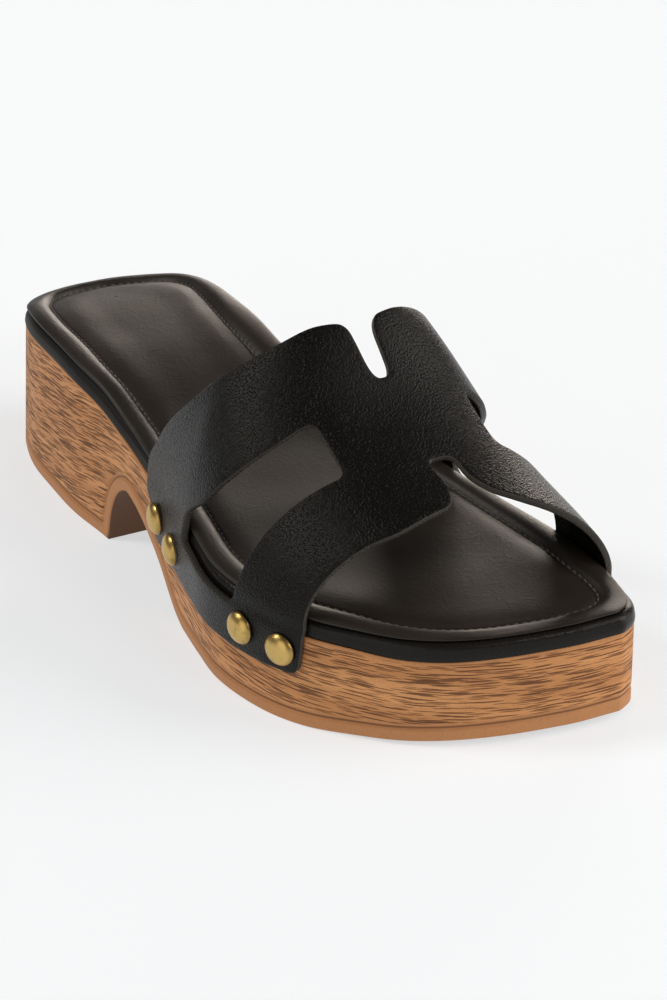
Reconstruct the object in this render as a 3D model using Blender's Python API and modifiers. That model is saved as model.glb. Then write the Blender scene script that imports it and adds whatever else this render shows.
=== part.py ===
"""Right-foot clog slide: a moulded wood-look platform with a block heel, a wrapped board, a padded
footbed and one H-shaped leather vamp held on by eight domed studs.

Metres, +Z up. The toe points along -Y and the inner (medial) side of the foot is at +X. A station
is a place along the shoe, 0 at the back of the heel and 1 at the tip of the toe.
"""

import math

import bmesh
import bpy
import numpy as np
from mathutils import Matrix, Vector
from mathutils.geometry import delaunay_2d_cdt

# Plan of the sole
LENGTH = 0.250
HEEL_WIDTH = 0.067
BALL_WIDTH = 0.097
BALL_SHIFT = 0.0085          # the forefoot's middle lies this far to the medial side

# Heights of the wood-look unit
HEEL_HEIGHT = 0.0435
FORE_HEIGHT = 0.0280
HEEL_SEAT = 0.0904           # length of the block heel on the ground
ARCH_LENGTH = 0.0596
ARCH_HEIGHT = 0.0207
TOE_SPRING = 0.0022
HEEL_FLARE = 0.0022          # the wall stands out this much at the ground
FORE_FLARE = -0.0003

# Moulded line round the lower edge
RIM_HEIGHT = 0.0041
LINE_WIDTH = 0.0012
LINE_DEPTH = 0.0006

# Board and footbed
CLEARANCE = 0.0003
BOARD_INSET = 0.0006         # under the vamp; elsewhere the board is flush with the wood
BOARD_THICKNESS = 0.0037
BOARD_ROUND = 0.0010
BOARD_LIP = 0.0013           # at the toe its wrapped edge stands up this much
LIP_SLOPE = 0.0016
CUSHION_INSET = 0.0014       # under the vamp
CUSHION_BULGE = 0.0017       # the roll stands out this much more at the back of the heel
CUSHION_RETREAT = 0.0008     # and it stays this much further in behind the lip
CUSHION_HEIGHT = 0.0023      # the rolled rim above the board
CUSHION_SEAM = 0.0005        # what is left of that at the stitched valley
CUSHION_PANEL = 0.0014
STITCH_INSET = 0.0092

# Vamp
LEATHER = 0.0020
INSTEP_HEIGHT = 0.105
CREST_SHIFT = 0.015          # the ridge of the instep lies to the medial side
FOLD_RISE = 0.0011           # the leather folds inwards this far above the wood
LATERAL_LEAN = math.radians(9)
MEDIAL_LEAN = math.radians(3)
LATERAL_ROUNDNESS = 2.17     # exponent of the arch: 2 is an ellipse
MEDIAL_ROUNDNESS = 2.33
BAND_DEPTH = 0.0122          # the side band reaches this far down the wood
CORNER = 0.0030

# Studs
STUD_RADIUS = 0.0047
STUD_RISE = 0.0024


def table(names, rows):
    """A short table with named columns."""
    return dict(zip(names.split(), np.array(rows, float).T))


# Edge of the sole at the ground, as shares of the local width from the heel's axis
PLAN = table("station lateral medial", [
    (0.000, -0.030, 0.060),
    (0.003, -0.137, 0.160),
    (0.010, -0.228, 0.233),
    (0.025, -0.321, 0.328),
    (0.050, -0.394, 0.418),
    (0.090, -0.451, 0.473),
    (0.140, -0.492, 0.492),
    (0.200, -0.507, 0.495),
    (0.300, -0.507, 0.494),
    (0.360, -0.472, 0.488),
    (0.440, -0.425, 0.457),
    (0.500, -0.402, 0.457),
    (0.580, -0.387, 0.475),
    (0.660, -0.392, 0.480),
    (0.720, -0.402, 0.515),
    (0.780, -0.381, 0.546),
    (0.820, -0.350, 0.564),
    (0.860, -0.297, 0.575),
    (0.900, -0.209, 0.579),
    (0.940, -0.103, 0.576),
    (0.965, 0.005, 0.566),
    (0.985, 0.149, 0.539),
    (0.996, 0.284, 0.502),
    (1.000, 0.381, 0.474),
])

# Top of the wood, as a share of the step from forefoot height to heel height
TOP = table("station rise", [
    (0.00, 0.53),
    (0.04, 0.65),
    (0.08, 0.80),
    (0.13, 0.94),
    (0.20, 1.00),
    (0.27, 0.98),
    (0.33, 0.85),
    (0.40, 0.57),
    (0.44, 0.44),
    (0.50, 0.32),
    (0.56, 0.24),
    (0.64, 0.16),
    (0.72, 0.05),
    (0.80, 0.00),
    (0.86, -0.02),
    (0.90, -0.09),
    (0.94, -0.16),
    (0.97, -0.17),
    (1.00, -0.12),
])

# Underside of the arch, from the heel's breast to where the forefoot lands
ARCH = table("along height", [
    (0.00, 0.00),
    (0.01, 0.28),
    (0.04, 0.58),
    (0.07, 0.75),
    (0.11, 0.88),
    (0.20, 1.00),
    (0.30, 0.94),
    (0.44, 0.80),
    (0.56, 0.65),
    (0.68, 0.47),
    (0.80, 0.24),
    (0.90, 0.08),
    (1.00, 0.00),
])

# Ridge of the vamp, as a share of the instep height
CREST = table("station share", [
    (0.46, 1.03),
    (0.56, 1.00),
    (0.66, 0.895),
    (0.74, 0.726),
    (0.82, 0.607),
    (0.90, 0.530),
    (0.96, 0.490),
])

# The vamp's outline from the slot's floor round each side to the notch's floor. Across is 0 on the
# ridge, 1 on the fold and 2 on the band's lower edge. Flow is 0 at a corner, which is rounded.
VAMP_LATERAL = table("across station flow", [
    (0.047, 0.723, 0),
    (0.057, 0.710, 1),
    (0.066, 0.690, 1),
    (0.076, 0.671, 0),
    (0.170, 0.663, 1),
    (0.310, 0.656, 1),
    (0.420, 0.645, 1),
    (0.635, 0.601, 1),
    (0.850, 0.530, 1),
    (0.960, 0.502, 1),
    (1.060, 0.506, 1),
    (1.400, 0.524, 1),
    (2.000, 0.530, 0),
    (2.000, 0.700, 1),
    (2.000, 0.860, 0),
    (1.060, 0.866, 1),
    (0.850, 0.864, 1),
    (0.590, 0.868, 1),
    (0.440, 0.873, 1),
    (0.290, 0.880, 1),
    (0.110, 0.877, 1),
    (0.020, 0.874, 0),
    (0.000, 0.850, 1),
    (0.020, 0.814, 0),
])
VAMP_MEDIAL = table("across station flow", [
    (0.000, 0.723, 0),
    (0.000, 0.700, 1),
    (0.000, 0.685, 1),
    (0.006, 0.671, 0),
    (0.120, 0.664, 1),
    (0.250, 0.657, 1),
    (0.420, 0.645, 1),
    (0.635, 0.601, 1),
    (0.850, 0.530, 1),
    (0.960, 0.502, 1),
    (1.060, 0.506, 1),
    (1.400, 0.524, 1),
    (2.000, 0.530, 0),
    (2.000, 0.700, 1),
    (2.000, 0.890, 0),
    (1.060, 0.900, 1),
    (0.900, 0.903, 1),
    (0.660, 0.898, 1),
    (0.410, 0.888, 1),
    (0.230, 0.874, 1),
    (0.140, 0.860, 1),
    (0.090, 0.840, 1),
    (0.075, 0.814, 0),
])

# Window in each side
WINDOW_LATERAL = table("across station flow", [
    (0.985, 0.634, 0),
    (0.930, 0.640, 1),
    (0.815, 0.679, 1),
    (0.715, 0.699, 1),
    (0.510, 0.724, 1),
    (0.295, 0.735, 0),
    (0.290, 0.765, 1),
    (0.295, 0.797, 0),
    (0.465, 0.790, 1),
    (0.725, 0.780, 1),
    (0.990, 0.770, 0),
    (0.990, 0.700, 1),
])
WINDOW_MEDIAL = table("across station flow", [
    (0.985, 0.634, 0),
    (0.930, 0.640, 1),
    (0.815, 0.679, 1),
    (0.715, 0.699, 1),
    (0.510, 0.724, 1),
    (0.330, 0.735, 0),
    (0.325, 0.765, 1),
    (0.330, 0.797, 0),
    (0.465, 0.802, 1),
    (0.725, 0.806, 1),
    (0.990, 0.806, 0),
    (0.990, 0.700, 1),
])

# Stations of the studs, and their drop below the fold as a share of the band's depth
STUDS = table("lateral medial drop", [
    (0.545, 0.545, 0.36),
    (0.606, 0.606, 0.46),
    (0.785, 0.822, 0.39),
    (0.838, 0.874, 0.46),
])

# Facets
SURFACE_STEP = 0.0075        # spacing of the points inside the vamp
EDGE_STEP = 0.0050
ROUND_STEPS = 4
STUD_SIDES = 16


def blend(value, low, high):
    """A smooth step from 0 to 1 between low and high."""
    share = np.clip((np.asarray(value, float) - low) / (high - low), 0.0, 1.0)
    return share * share * (3.0 - 2.0 * share)


def curve(value, places, heights):
    """A smooth curve through a table: a cubic in each row, with slopes from the rows beside it."""
    slopes = np.gradient(heights, places)
    row = np.clip(np.searchsorted(places, value, side="right") - 1, 0, len(places) - 2)
    step = places[row + 1] - places[row]
    t = (value - places[row]) / step
    low = heights[row] * (1 + 2 * t) * (1 - t) ** 2 + slopes[row] * step * t * (1 - t) ** 2
    high = heights[row + 1] * t * t * (3 - 2 * t) + slopes[row + 1] * step * t * t * (t - 1)
    return low + high


def turn(station):
    """A station as an angle from heel to toe, in which the two round ends of the plan are smooth."""
    return np.arccos(np.clip(1.0 - 2.0 * np.asarray(station, float), -1.0, 1.0))


def place(station):
    """Y of a station."""
    return LENGTH * (0.5 - np.asarray(station, float))


def station_at(y):
    """Station of a Y."""
    return 0.5 - np.asarray(y, float) / LENGTH


def forefoot(station):
    """0 at the heel and 1 at the ball and toe."""
    return blend(station, 0.30, 0.70)


def local_width(station):
    return HEEL_WIDTH + (BALL_WIDTH - HEEL_WIDTH) * forefoot(station)


def edge_x(side, angle):
    """X of the sole's edge at the ground on one side, at an angle from turn()."""
    station = (1.0 - np.cos(angle)) / 2.0
    share = curve(angle, turn(PLAN["station"]), PLAN[side])
    return share * local_width(station)


def edge_normal(side, station):
    """Outward direction of the sole's edge in plan."""
    angle = np.clip(turn(station), 0.001, math.pi - 0.001)
    reach = 0.001
    along_x = edge_x(side, angle + reach) - edge_x(side, angle - reach)
    along_y = -LENGTH / 2 * np.sin(angle) * 2 * reach
    outward = -1.0 if side == "lateral" else 1.0
    normal = np.stack([-outward * along_y, outward * along_x], -1)
    return normal / np.linalg.norm(normal, axis=-1, keepdims=True)


def wood_top(station):
    """Height of the wood-look unit's upper face."""
    return FORE_HEIGHT + (HEEL_HEIGHT - FORE_HEIGHT) * curve(station, TOP["station"], TOP["rise"])


def underside(y):
    """Height of the sole's lower face: flat heel, arch, flat forefoot and toe spring."""
    y = np.asarray(y, float)
    breast = LENGTH / 2 - HEEL_SEAT
    along = (breast - y) / ARCH_LENGTH
    arch = ARCH_HEIGHT * np.interp(along, ARCH["along"], ARCH["height"], left=0.0, right=0.0)
    spring = TOE_SPRING * np.clip((station_at(y) - 0.80) / 0.20, 0.0, 1.0) ** 2
    return arch + spring


def line_height(y, distance):
    """The moulded line keeps one distance from the lower edge: it is the top of circles of that
    radius rolled along the edge."""
    offset = np.linspace(-distance, distance, 61)[:, None]
    return np.max(underside(np.asarray(y) + offset) + np.sqrt(distance ** 2 - offset ** 2), axis=0)


def wall_lean(station, height):
    """How far the sole's wall has moved inwards from the ground up to a height."""
    flare = FORE_FLARE + (HEEL_FLARE - FORE_FLARE) * (1.0 - forefoot(station))
    return flare * np.clip(height / wood_top(station), 0.0, 1.0)


def wall_points(side, station, height, out=0.0):
    """Points on the sole's wall, moved outwards by a distance."""
    normal = edge_normal(side, station)
    plan = np.stack([edge_x(side, turn(station)), place(station)], -1)
    plan = plan + normal * (out - wall_lean(station, height))[:, None]
    return np.column_stack([plan, height])


def inner_points(side, station, inset, rise):
    """Points inside the upper edge of the wood, drawn in towards the foot's middle line, at a
    rise above the wood."""
    top = wood_top(station)
    edge = wall_points(side, station, top)
    middle = BALL_SHIFT * forefoot(station)
    x = middle + (edge[:, 0] - middle) * (1.0 - inset / (local_width(station) / 2))
    y = edge[:, 1] * (1.0 - inset / (LENGTH / 2))
    return np.column_stack([x, y, wood_top(station_at(y)) + rise])


def sole_stations():
    """Stations of the lofts: close together round heel, toe, breast and arch."""
    breast = HEEL_SEAT / LENGTH
    heel = (1 - np.cos(np.linspace(0, turn(0.14), 9))) / 2
    seat = np.linspace(0.14, breast - 0.026, 4)[1:]
    steep = breast - RIM_HEIGHT / LENGTH * np.array([1.25, 1.12, 1.0, 0.9, 0.75, 0.5, 0.25])
    arch = breast + ARCH_LENGTH / LENGTH * ARCH["along"]
    landed = arch[-1]
    waist = np.linspace(landed, 0.82, 7)[1:]
    toe = (1 - np.cos(np.linspace(turn(0.82), math.pi, 12)[1:])) / 2
    return np.concatenate([heel, seat, steep, arch, waist, toe])


def make_material(name, colour, roughness, metallic=0.0):
    material = bpy.data.materials.new(name)
    material.use_nodes = True
    shader = material.node_tree.nodes["Principled BSDF"]
    shader.inputs["Base Color"].default_value = (*colour, 1.0)
    shader.inputs["Roughness"].default_value = roughness
    shader.inputs["Metallic"].default_value = metallic
    return material


def add_object(name, vertices, faces, material):
    """One mesh object in the shoe's collection, hung from the shoe's empty."""
    mesh = bpy.data.meshes.new(name)
    mesh.from_pydata([tuple(map(float, v)) for v in vertices], [], [tuple(map(int, f)) for f in faces])
    mesh.update()
    obj = bpy.data.objects.new(name, mesh)
    obj.data.materials.append(material)
    shoe_collection.objects.link(obj)
    obj.parent = shoe
    mesh.shade_smooth()
    mesh.set_sharp_from_angle(angle=math.radians(35))
    return obj


def ring(lateral, medial):
    """One closed ring: down the lateral side from heel to toe and back up the medial side."""
    return np.concatenate([lateral, medial[::-1]])


def loft(name, rings, material):
    """A closed solid through rings from bottom to top, with a ladder of faces across each end."""
    count = len(rings[0])
    half = count // 2
    vertices = np.concatenate(rings)
    faces = []
    for level in range(len(rings) - 1):
        low, high = level * count, (level + 1) * count
        for i in range(count):
            j = (i + 1) % count
            faces.append((low + i, low + j, high + j))
            faces.append((low + i, high + j, high + i))
    top = (len(rings) - 1) * count
    for i in range(half - 1):
        left, right = i, count - 1 - i
        faces.append((left, right, right - 1))
        faces.append((left, right - 1, left + 1))
        faces.append((top + left, top + left + 1, top + right - 1))
        faces.append((top + left, top + right - 1, top + right))
    return add_object(name, vertices, faces, material)


def build_platform(material):
    """The wood-look unit: wall with its moulded line, arch underneath, flat bed on top."""
    station = sole_stations()
    y = place(station)
    half = LINE_WIDTH / 2
    lip_low = line_height(y, RIM_HEIGHT - half)
    valley = line_height(y, RIM_HEIGHT)
    lip_high = line_height(y, RIM_HEIGHT + half)
    levels = ((underside(y), 0.0), (lip_low, 0.0), (valley, -LINE_DEPTH), (lip_high, 0.0),
              (wood_top(station), 0.0))
    rings = []
    for height, out in levels:
        lateral = wall_points("lateral", station, height, out)
        medial = wall_points("medial", station, height, out)
        rings.append(ring(lateral, medial))
    return loft("platform", rings, material)


def let_out(station, heel, toe, behind):
    """How far a layer's edge is let out at heel and toe, where no strap passes it."""
    return heel * (1.0 - blend(station, behind, behind + 0.12)) + toe * blend(station, 0.91, 0.97)


def lip(station):
    """Height of the board's lip, which rises in front of the vamp."""
    return BOARD_LIP * blend(station, 0.87, 0.94)


def build_layer(name, station, profile, material):
    """A layer on the wood, lofted through a profile of (inset, rise) pairs."""
    rings = []
    for inset, rise in profile:
        lateral = inner_points("lateral", station, inset, rise)
        medial = inner_points("medial", station, inset, rise)
        rings.append(ring(lateral, medial))
    return loft(name, rings, material)


def build_board(material):
    """The flat wrapped board, with eased edges and a lip at the toe."""
    station = sole_stations()
    inset = BOARD_INSET - let_out(station, BOARD_INSET, BOARD_INSET, 0.34)
    low = CLEARANCE
    high = CLEARANCE + BOARD_THICKNESS
    edge = high + lip(station)
    profile = [
        (inset, low),
        (inset, edge - BOARD_ROUND),
        (inset + BOARD_ROUND * 0.3, edge - BOARD_ROUND * 0.3),
        (inset + BOARD_ROUND, edge),
        (inset + BOARD_ROUND + LIP_SLOPE, high),
    ]
    return build_layer("insole_board", station, profile, material)


def build_footbed(material):
    """The cushion: a half-round roll from its foot up to the crest and down to the stitched
    valley, then the panel. At the toe its foot rises to clear the board's lip."""
    station = sole_stations()
    base = BOARD_THICKNESS + 2 * CLEARANCE
    roll = STITCH_INSET - CUSHION_INSET
    out = let_out(station, CUSHION_BULGE, -CUSHION_RETREAT, 0.02)
    inset = CUSHION_INSET - out
    toe = lip(station)
    profile = [(inset + 0.18 * roll, base)]
    for share, height in ((0.00, 0.32), (0.04, 0.62), (0.16, 0.87), (0.36, 1.00), (0.62, 0.93), (0.84, 0.68)):
        clear = toe * (1 - share) * (1 - height)
        profile.append((inset + share * (roll + out), base + height * CUSHION_HEIGHT + clear))
    profile.append((STITCH_INSET, base + CUSHION_SEAM))
    profile.append((STITCH_INSET + 0.3 * roll, base + CUSHION_PANEL))
    return build_layer("footbed", station, profile, material)


def vamp_points(across, station):
    """Outer face of the vamp. Up to 1 across it is an arch from the ridge down to the fold, and
    past 1 it lies on the sole's wall."""
    across = np.asarray(across, float)
    station = np.asarray(station, float)
    lateral = across > 0
    reach = np.abs(across)
    out = CLEARANCE + LEATHER
    fold = wood_top(station) + FOLD_RISE
    down = np.clip(reach - 1.0, 0.0, None) * BAND_DEPTH
    height = fold - down
    foot = np.empty_like(across)
    for side, chosen in (("lateral", lateral), ("medial", ~lateral)):
        sign = -1.0 if side == "lateral" else 1.0
        normal = edge_normal(side, station[chosen])
        lean = wall_lean(station[chosen], height[chosen])
        edge = edge_x(side, turn(station[chosen]))
        foot[chosen] = edge + sign * (out - lean) / np.abs(normal[:, 0])
    lean = np.where(lateral, LATERAL_LEAN, MEDIAL_LEAN)
    power = 2.0 / np.where(lateral, LATERAL_ROUNDNESS, MEDIAL_ROUNDNESS)
    angle = lean + (math.pi / 2 - lean) * (1.0 - np.clip(reach, 0.0, 1.0))
    wide = (np.cos(angle) / np.cos(lean)) ** power
    low = np.sin(lean) ** power
    tall = (np.sin(angle) ** power - low) / (1.0 - low)
    crest = INSTEP_HEIGHT * curve(station, CREST["station"], CREST["share"])
    x = CREST_SHIFT + (foot - CREST_SHIFT) * np.where(reach < 1.0, wide, 1.0)
    z = np.where(reach < 1.0, fold + (crest - fold) * tall, height)
    return np.column_stack([x, place(station), z])


def half_arc():
    """Rough length of leather from ridge to fold, which sets how the pattern is meshed."""
    height = INSTEP_HEIGHT * 0.8 - FORE_HEIGHT
    return math.pi / 2 * math.sqrt(((BALL_WIDTH / 2) ** 2 + height ** 2) / 2)


def to_flat(across, station):
    """Pattern place as flat lengths in metres, so that the mesh is even."""
    across = np.asarray(across, float)
    reach = np.abs(across)
    flat = np.where(reach < 1.0, reach * half_arc(), half_arc() + (reach - 1.0) * BAND_DEPTH)
    return np.column_stack([np.sign(across) * flat, np.asarray(station) * LENGTH])


def from_flat(points):
    """The inverse of to_flat."""
    reach = np.abs(points[:, 0])
    across = np.where(reach < half_arc(), reach / half_arc(), 1.0 + (reach - half_arc()) / BAND_DEPTH)
    return np.sign(points[:, 0]) * across, points[:, 1] / LENGTH


def flowing(points):
    """A smooth line through points, with both ends cut back to make room for rounded corners."""
    lengths = np.concatenate([[0.0], np.cumsum(np.linalg.norm(np.diff(points, axis=0), axis=1))])
    cut = min(CORNER, lengths[-1] * 0.4)
    steps = max(1, round((lengths[-1] - 2 * cut) / EDGE_STEP))
    along = np.linspace(cut, lengths[-1] - cut, steps + 1)
    return np.column_stack([curve(along, lengths, points[:, k]) for k in (0, 1)])


def rounded(points, flow):
    """A closed outline through points, with a parabola at each corner."""
    corners = np.flatnonzero(flow < 0.5)
    runs = []
    for i, first in enumerate(corners):
        count = (corners[(i + 1) % len(corners)] - first) % len(points)
        runs.append(flowing(points[(first + np.arange(count + 1)) % len(points)]))
    outline = []
    for i, run in enumerate(runs):
        k = (i + 1) % len(runs)
        start, here, end = run[-1], points[corners[k]], runs[k][0]
        outline += list(run)
        for t in np.linspace(0.0, 1.0, ROUND_STEPS + 1)[1:-1]:
            outline.append(start * (1 - t) ** 2 + here * 2 * t * (1 - t) + end * t * t)
    return np.array(outline)


def inside(outline, points):
    """Whether each point lies inside a closed outline, by counting crossings."""
    found = np.zeros(len(points), bool)
    for i in range(len(outline)):
        a, b = outline[i - 1], outline[i]
        crosses = (a[1] > points[:, 1]) != (b[1] > points[:, 1])
        rise = b[1] - a[1] if b[1] != a[1] else 1.0
        at = a[0] + (points[:, 1] - a[1]) / rise * (b[0] - a[0])
        found ^= crosses & (points[:, 0] < at)
    return found


def distance_to(outline, points):
    """Least distance from each point to the points of an outline."""
    gap = points[:, None, :] - outline[None, :, :]
    return np.sqrt((gap ** 2).sum(-1)).min(axis=1)


def drawn(rows, side):
    """A table's outline on one side of the flat pattern."""
    return to_flat(rows["across"] * side, rows["station"])


def vamp_outlines():
    """Outer outline and both windows of the flat pattern."""
    points = np.concatenate([drawn(VAMP_LATERAL, 1), drawn(VAMP_MEDIAL, -1)[::-1]])
    outer = rounded(points, np.concatenate([VAMP_LATERAL["flow"], VAMP_MEDIAL["flow"][::-1]]))
    window = rounded(drawn(WINDOW_LATERAL, 1), WINDOW_LATERAL["flow"])
    window_far = rounded(drawn(WINDOW_MEDIAL, -1), WINDOW_MEDIAL["flow"])
    return outer, window, window_far


def fold_line(sign):
    """Points along the fold on one side of the pattern."""
    station = np.arange(VAMP_MEDIAL["station"].min(), VAMP_MEDIAL["station"].max(), EDGE_STEP / LENGTH)
    return to_flat(np.full(len(station), sign * 1.0), station)


def build_vamp(material):
    """The H-shaped upper: its pattern is drawn flat, filled with triangles, laid over the last and
    given the leather's thickness inwards."""
    outer, window, window_far = vamp_outlines()
    holes = (window, window_far)
    loops = [outer, *holes]
    points = [point for loop in loops for point in loop]
    edges = []
    start = 0
    for loop in loops:
        edges += [(start + i, start + (i + 1) % len(loop)) for i in range(len(loop))]
        start += len(loop)
    spread_x = np.arange(outer[:, 0].min(), outer[:, 0].max(), SURFACE_STEP)
    spread_y = np.arange(outer[:, 1].min(), outer[:, 1].max(), SURFACE_STEP)
    grid = np.array([(x + (row % 2) * SURFACE_STEP / 2, y)
                     for row, y in enumerate(spread_y) for x in spread_x])
    folds = np.concatenate([fold_line(1), fold_line(-1)])
    free = inside(outer, grid) & ~inside(window, grid) & ~inside(window_far, grid)
    free &= distance_to(np.concatenate(loops), grid) > SURFACE_STEP * 0.45
    free &= distance_to(folds, grid) > SURFACE_STEP * 0.45
    kept = inside(outer, folds) & ~inside(window, folds) & ~inside(window_far, folds)
    kept &= distance_to(np.concatenate(loops), folds) > EDGE_STEP * 0.3
    points += list(grid[free]) + list(folds[kept])
    flat = [Vector((float(p[0]), float(p[1]))) for p in points]
    made, _, triangles, _, _, _ = delaunay_2d_cdt(flat, edges, [], 1, 1e-7)
    made = np.array([tuple(v) for v in made])
    middle = np.array([made[list(t)].mean(axis=0) for t in triangles])
    solid = inside(outer, middle) & ~inside(window, middle) & ~inside(window_far, middle)
    across, station = from_flat(made)
    vertices = vamp_points(across, station)
    faces = [tuple(t) for t, real in zip(triangles, solid) if real]
    obj = add_object("upper", vertices, faces, material)
    mesh = bmesh.new()
    mesh.from_mesh(obj.data)
    loose = [v for v in mesh.verts if not v.link_faces]
    bmesh.ops.delete(mesh, geom=loose, context="VERTS")
    mesh.normal_update()
    if sum(face.normal.z for face in mesh.faces) < 0:
        bmesh.ops.reverse_faces(mesh, faces=mesh.faces)
    mesh.to_mesh(obj.data)
    mesh.free()
    wall = obj.modifiers.new("leather", "SOLIDIFY")
    wall.thickness = LEATHER
    wall.offset = -1.0
    wall.use_even_offset = True
    return obj


def stud_mesh():
    """A low dome on a short rim, turned from its profile."""
    rim = STUD_RISE * 0.2
    steps = 4
    profile = [(STUD_RADIUS * math.cos(math.pi / 2 * i / steps), rim + (STUD_RISE - rim) * math.sin(math.pi / 2 * i / steps))
               for i in range(steps)]
    dome = bmesh.new()
    rings = []
    for radius, height in [(STUD_RADIUS, 0.0), *profile]:
        angles = [2 * math.pi * k / STUD_SIDES for k in range(STUD_SIDES)]
        rings.append([dome.verts.new((radius * math.cos(a), radius * math.sin(a), height)) for a in angles])
    tip = dome.verts.new((0.0, 0.0, STUD_RISE))
    for low, high in zip(rings, rings[1:]):
        for k in range(STUD_SIDES):
            n = (k + 1) % STUD_SIDES
            dome.faces.new((low[k], low[n], high[n], high[k]))
    for k in range(STUD_SIDES):
        dome.faces.new((rings[-1][k], rings[-1][(k + 1) % STUD_SIDES], tip))
    dome.faces.new(rings[0][::-1])
    mesh = bpy.data.meshes.new("stud")
    dome.to_mesh(mesh)
    dome.free()
    mesh.shade_smooth()
    mesh.set_sharp_from_angle(angle=math.radians(40))
    return mesh


def build_studs(material):
    """Four studs on each side band, all from one mesh, each flat against the leather."""
    mesh = stud_mesh()
    mesh.materials.append(material)
    for side in ("lateral", "medial"):
        for number, station in enumerate(STUDS[side], start=1):
            here = np.array([station])
            height = wood_top(here) + FOLD_RISE - BAND_DEPTH * STUDS["drop"][number - 1]
            beside = np.array([station - STUD_RADIUS / LENGTH, station, station + STUD_RADIUS / LENGTH])
            normal = edge_normal(side, here)[0]
            level = np.full(3, height[0])
            wall = wall_points(side, beside, level, CLEARANCE + LEATHER)
            centre = wall[1]
            bulge = max(0.0, *((wall[[0, 2], :2] - centre[:2]) @ normal))
            axis = Vector((normal[0], normal[1], 0.0))
            stand_off = CLEARANCE + bulge
            obj = bpy.data.objects.new(f"stud_{side}_{number}", mesh)
            shoe_collection.objects.link(obj)
            obj.parent = shoe
            obj.rotation_mode = "QUATERNION"
            obj.rotation_quaternion = axis.to_track_quat("Z", "Y")
            obj.location = Vector(centre) + axis * stand_off


def settle():
    """Puts the middle of the shoe's box, on the ground, at the origin."""
    bpy.context.view_layer.update()
    low = Vector((math.inf,) * 3)
    high = Vector((-math.inf,) * 3)
    graph = bpy.context.evaluated_depsgraph_get()
    for obj in shoe_collection.objects:
        if obj.type != "MESH":
            continue
        ready = obj.evaluated_get(graph)
        for vertex in ready.data.vertices:
            spot = ready.matrix_world @ vertex.co
            low = Vector(map(min, low, spot))
            high = Vector(map(max, high, spot))
    middle = (low + high) / 2
    shoe.location = (-middle.x, -middle.y, -low.z)
    bpy.context.view_layer.update()


for old in list(bpy.data.objects):
    bpy.data.objects.remove(old, do_unlink=True)

shoe_collection = bpy.data.collections.new("clog")
bpy.context.scene.collection.children.link(shoe_collection)
shoe = bpy.data.objects.new("shoe", None)
shoe_collection.objects.link(shoe)

wood_look = make_material("wood_look", (0.48, 0.27, 0.14), 0.55)
wrap_leather = make_material("wrap_leather", (0.020, 0.019, 0.018), 0.35)
footbed_leather = make_material("footbed_leather", (0.026, 0.023, 0.021), 0.42)
vamp_leather = make_material("vamp_leather", (0.022, 0.020, 0.019), 0.45)
brass = make_material("antique_brass", (0.55, 0.40, 0.17), 0.35, 1.0)

build_platform(wood_look)
build_board(wrap_leather)
build_footbed(footbed_leather)
build_vamp(vamp_leather)
build_studs(brass)
settle()
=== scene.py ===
# %% [markdown]
# # A clog slide for the right foot
#
# The shoe is a backless slide on a moulded wood-look platform: a wrapped board, a padded footbed,
# and one H-shaped leather vamp held to the platform's side by eight brass studs.
#
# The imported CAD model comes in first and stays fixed. Every piece below is worked out in the same
# frame: metres, +Z up, the toe along -Y, the inner (medial) side of the foot at +X. A station is a
# place along the shoe, 0 at the back of the heel and 1 at the tip of the toe.

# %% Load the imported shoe
import math

import bpy
import numpy as np
from mathutils import Matrix, Vector
from mathutils.geometry import delaunay_2d_cdt


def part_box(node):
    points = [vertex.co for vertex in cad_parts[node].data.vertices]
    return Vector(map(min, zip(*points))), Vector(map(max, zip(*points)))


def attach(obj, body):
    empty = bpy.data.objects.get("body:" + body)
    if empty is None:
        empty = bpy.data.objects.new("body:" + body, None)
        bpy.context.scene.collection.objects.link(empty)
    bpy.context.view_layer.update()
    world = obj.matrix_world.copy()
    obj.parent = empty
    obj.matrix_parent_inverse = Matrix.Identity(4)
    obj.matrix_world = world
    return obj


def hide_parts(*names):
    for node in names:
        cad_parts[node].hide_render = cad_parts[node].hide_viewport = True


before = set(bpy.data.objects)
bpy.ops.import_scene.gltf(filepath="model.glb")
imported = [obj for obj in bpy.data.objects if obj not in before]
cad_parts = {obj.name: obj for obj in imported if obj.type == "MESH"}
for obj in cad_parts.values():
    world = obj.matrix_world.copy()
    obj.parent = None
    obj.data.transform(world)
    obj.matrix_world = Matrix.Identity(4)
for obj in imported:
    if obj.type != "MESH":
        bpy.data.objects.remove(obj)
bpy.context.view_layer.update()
print("nodes", sorted(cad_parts))

# %% [markdown]
# ## The shoe's own sizes
#
# A last and a sole are drawn from a few lengths and a few curves. The lengths are named once, and
# each curve is a short table that a smooth line runs through. The alternative, reading points back
# from the CAD mesh, would carry its facets into the picture, so the same curves are used again
# here, only sampled much more finely.

# %% Named sizes
LENGTH = 0.250
HEEL_WIDTH = 0.067
BALL_WIDTH = 0.097
BALL_SHIFT = 0.0085

HEEL_HEIGHT = 0.0435
FORE_HEIGHT = 0.0280
HEEL_SEAT = 0.0904
ARCH_LENGTH = 0.0596
ARCH_HEIGHT = 0.0207
TOE_SPRING = 0.0022
SPRING_START = 0.80
SPRING_RUN = 0.20
HEEL_FLARE = 0.0022
FORE_FLARE = -0.0003

RIM_HEIGHT = 0.0041
LINE_WIDTH = 0.0012
LINE_DEPTH = 0.0006

CLEARANCE = 0.0003
BOARD_INSET = 0.0006
BOARD_THICKNESS = 0.0037
BOARD_LIP = 0.0013
LIP_SLOPE = 0.0016
CUSHION_HEIGHT = 0.0023

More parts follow.
